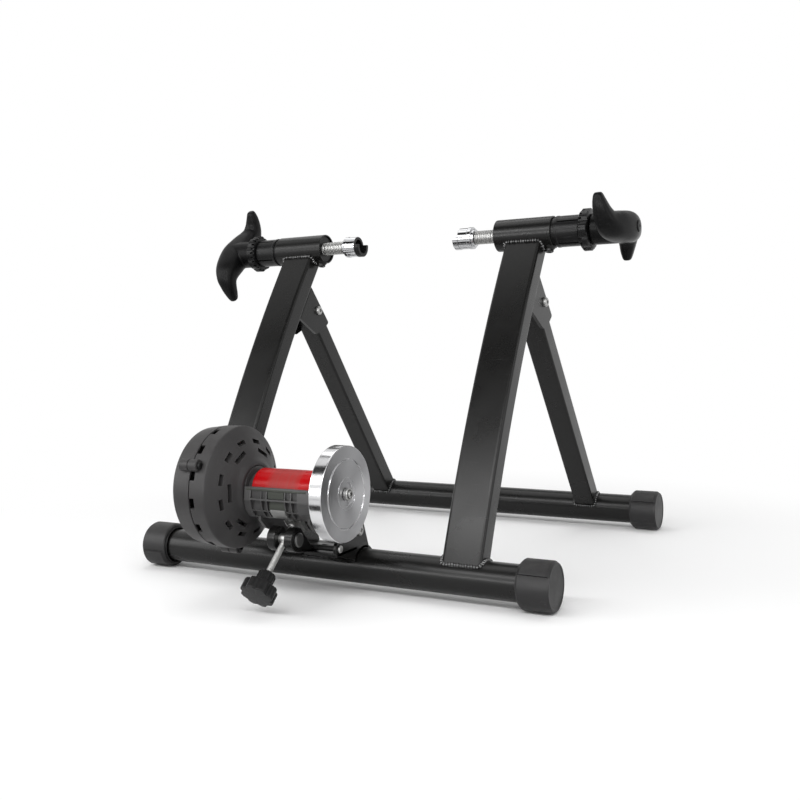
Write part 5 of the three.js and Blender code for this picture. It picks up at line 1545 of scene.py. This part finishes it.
# Studio: pale floor that keeps the shadow and fades to the white of the world
studio = {
    "floorRadius": 6.0, "floorSteps": 96, "floorColor": (0.96, 0.96, 0.96), "floorRough": 0.7,
    "floorShine": 0.1, "fade": (0.3, 0.75), "worldFill": 0.5, "cardColor": (0.01, 0.01, 0.01),
    # Each lamp: name, place, size, power, aim
    "lamps": [
        ("overheadStrip", (0.15, -1.21, 1.09), (2.6, 0.22), 16.0, (0.0, -0.15, 0.03)),
        ("topBox", (-0.2, 0.5, 2.0), (1.8, 1.4), 9.0, (0.0, 0.0, 0.15)),
        ("rightBox", (2.0, -0.3, 0.8), (1.0, 1.2), 6.0, (0.0, 0.0, 0.2)),
        ("leftFill", (-1.8, -1.3, 0.9), (1.0, 1.2), 14.0, (0.0, 0.0, 0.2)),
    ],
    # Cards that only reflections see, dark but for the glow: name, place, size, aim, strength
    "cards": [
        ("highCard", (0.1, -0.95, 1.95), (4.0, 0.8), (0.0, 0.0, 0.35), 0.0),
        ("floorCard", (-0.4, -1.1, 0.03), (5.0, 0.2), (-0.4, -1.1, 2.0), 0.0),
        ("nearCard", (-0.4, -0.45, 0.03), (5.0, 0.12), (-0.4, -0.45, 2.0), 0.0),
        ("topCard", (0.1, 0.35, 2.3), (4.0, 0.3), (0.1, 0.35, 0.0), 0.0),
        ("backCard", (0.3, 1.5, 2.1), (3.6, 0.7), (0.0, 0.0, 0.35), 0.0),
        ("highGlow", (0.15, -1.33, 0.97), (2.6, 0.26), (0.0, -0.1, 0.15), 3.0),
        ("lowGlow", (0.15, -1.6, 0.42), (2.6, 0.18), (0.0, -0.1, 0.1), 13.0),
    ],
}


def aimed(place, target):
    return (Vector(target) - Vector(place)).to_track_quat("-Z", "Y").to_euler()


def buildStudio():
    world = bpy.data.worlds.new("studio")
    bpy.context.scene.world = world
    world.use_nodes = True
    tree = world.node_tree
    backdrop = tree.nodes["Background"]
    backdrop.inputs["Color"].default_value = (1.0, 1.0, 1.0, 1.0)
    rays = addNode(tree, "ShaderNodeLightPath")
    seen = calculate(tree, "MAXIMUM", rays.outputs["Is Camera Ray"], rays.outputs["Is Glossy Ray"])
    seen = calculate(tree, "MAXIMUM", seen, rays.outputs["Is Transmission Ray"])
    strength = mapped(tree, seen, 0.0, 1.0, studio["worldFill"], 1.0)
    tree.links.new(strength, backdrop.inputs["Strength"])

    mesh = bpy.data.meshes.new("studio_floor")
    radius, steps = studio["floorRadius"], studio["floorSteps"]
    angles = [fullTurn * i / steps for i in range(steps)]
    mesh.from_pydata([(radius * math.cos(a), radius * math.sin(a), 0.0) for a in angles], [],
                     [tuple(range(steps))])
    floor = linkPiece("studio_floor", mesh)
    material = bpy.data.materials.new("paleFloor")
    material.use_nodes = True
    tree = material.node_tree
    shader = tree.nodes["Principled BSDF"]
    shader.inputs["Base Color"].default_value = (*studio["floorColor"], 1.0)
    shader.inputs["Roughness"].default_value = studio["floorRough"]
    shader.inputs["Specular IOR Level"].default_value = studio["floorShine"]
    away = addNode(tree, "ShaderNodeVectorMath", {"operation": "LENGTH"})
    tree.links.new(objectPoint(tree), away.inputs[0])
    fade = mapped(tree, away.outputs["Value"], *studio["fade"])
    glow = addNode(tree, "ShaderNodeEmission", Strength=1.0)
    blend = addNode(tree, "ShaderNodeMixShader")
    tree.links.new(fade, blend.inputs[0])
    tree.links.new(shader.outputs[0], blend.inputs[1])
    tree.links.new(glow.outputs[0], blend.inputs[2])
    tree.links.new(blend.outputs[0], tree.nodes["Material Output"].inputs["Surface"])
    mesh.materials.append(material)

    for name, place, size, target, strength in studio["cards"]:
        surface = bpy.data.materials.new(name)
        surface.use_nodes = True
        paper = surface.node_tree.nodes["Principled BSDF"]
        paper.inputs["Base Color"].default_value = (*studio["cardColor"], 1.0)
        paper.inputs["Specular IOR Level"].default_value = 0.0
        paper.inputs["Emission Color"].default_value = (1.0, 1.0, 1.0, 1.0)
        paper.inputs["Emission Strength"].default_value = strength
        wide, high = size[0] / 2, size[1] / 2
        mesh = bpy.data.meshes.new(name)
        mesh.from_pydata([(-wide, -high, 0), (wide, -high, 0), (wide, high, 0), (-wide, high, 0)], [],
                         [(0, 1, 2, 3)])
        mesh.materials.append(surface)
        card = linkPiece(name, mesh)
        card.location = place
        card.rotation_euler = aimed(place, target)
        card.visible_camera = False
        card.visible_diffuse = False
        card.visible_shadow = False

    for name, place, size, power, target in studio["lamps"]:
        lamp = bpy.data.lights.new(name, "AREA")
        lamp.shape = "RECTANGLE"
        lamp.size, lamp.size_y = size
        lamp.energy = power
        holder = linkPiece(name, lamp)
        holder.location = place
        holder.rotation_euler = aimed(place, target)


buildStudio()

# Camera at the photograph's place
viewPoint = {
    "place": (583.7, -1072.11, 290.43), "yaw": -0.5221, "pitch": -0.0154, "roll": -0.0286,
    "lens": 44.07, "sensor": 36.0, "shift": (0.0408, -0.0755),
}


def buildCamera():
    yaw, pitch, roll = viewPoint["yaw"], viewPoint["pitch"], viewPoint["roll"]
    forward = Vector((math.sin(yaw) * math.cos(pitch), math.cos(yaw) * math.cos(pitch), math.sin(pitch)))
    right = Vector((math.cos(yaw), -math.sin(yaw), 0.0))
    up = right.cross(forward)
    across = right * math.cos(roll) + up * math.sin(roll)
    upward = up * math.cos(roll) - right * math.sin(roll)
    camera = bpy.data.cameras.new("photoCamera")
    camera.lens = viewPoint["lens"]
    camera.sensor_width = viewPoint["sensor"]
    camera.shift_x, camera.shift_y = viewPoint["shift"]
    camera.clip_start = 0.01
    holder = linkPiece("photoCamera", camera)
    turning = Matrix((across, upward, -forward)).transposed().to_4x4()
    holder.matrix_world = Matrix.Translation(Vector(viewPoint["place"]) * mm) @ turning
    bpy.context.scene.camera = holder


buildCamera()
bpy.context.scene.view_settings.view_transform = "Standard"
print("stage: studio and camera")
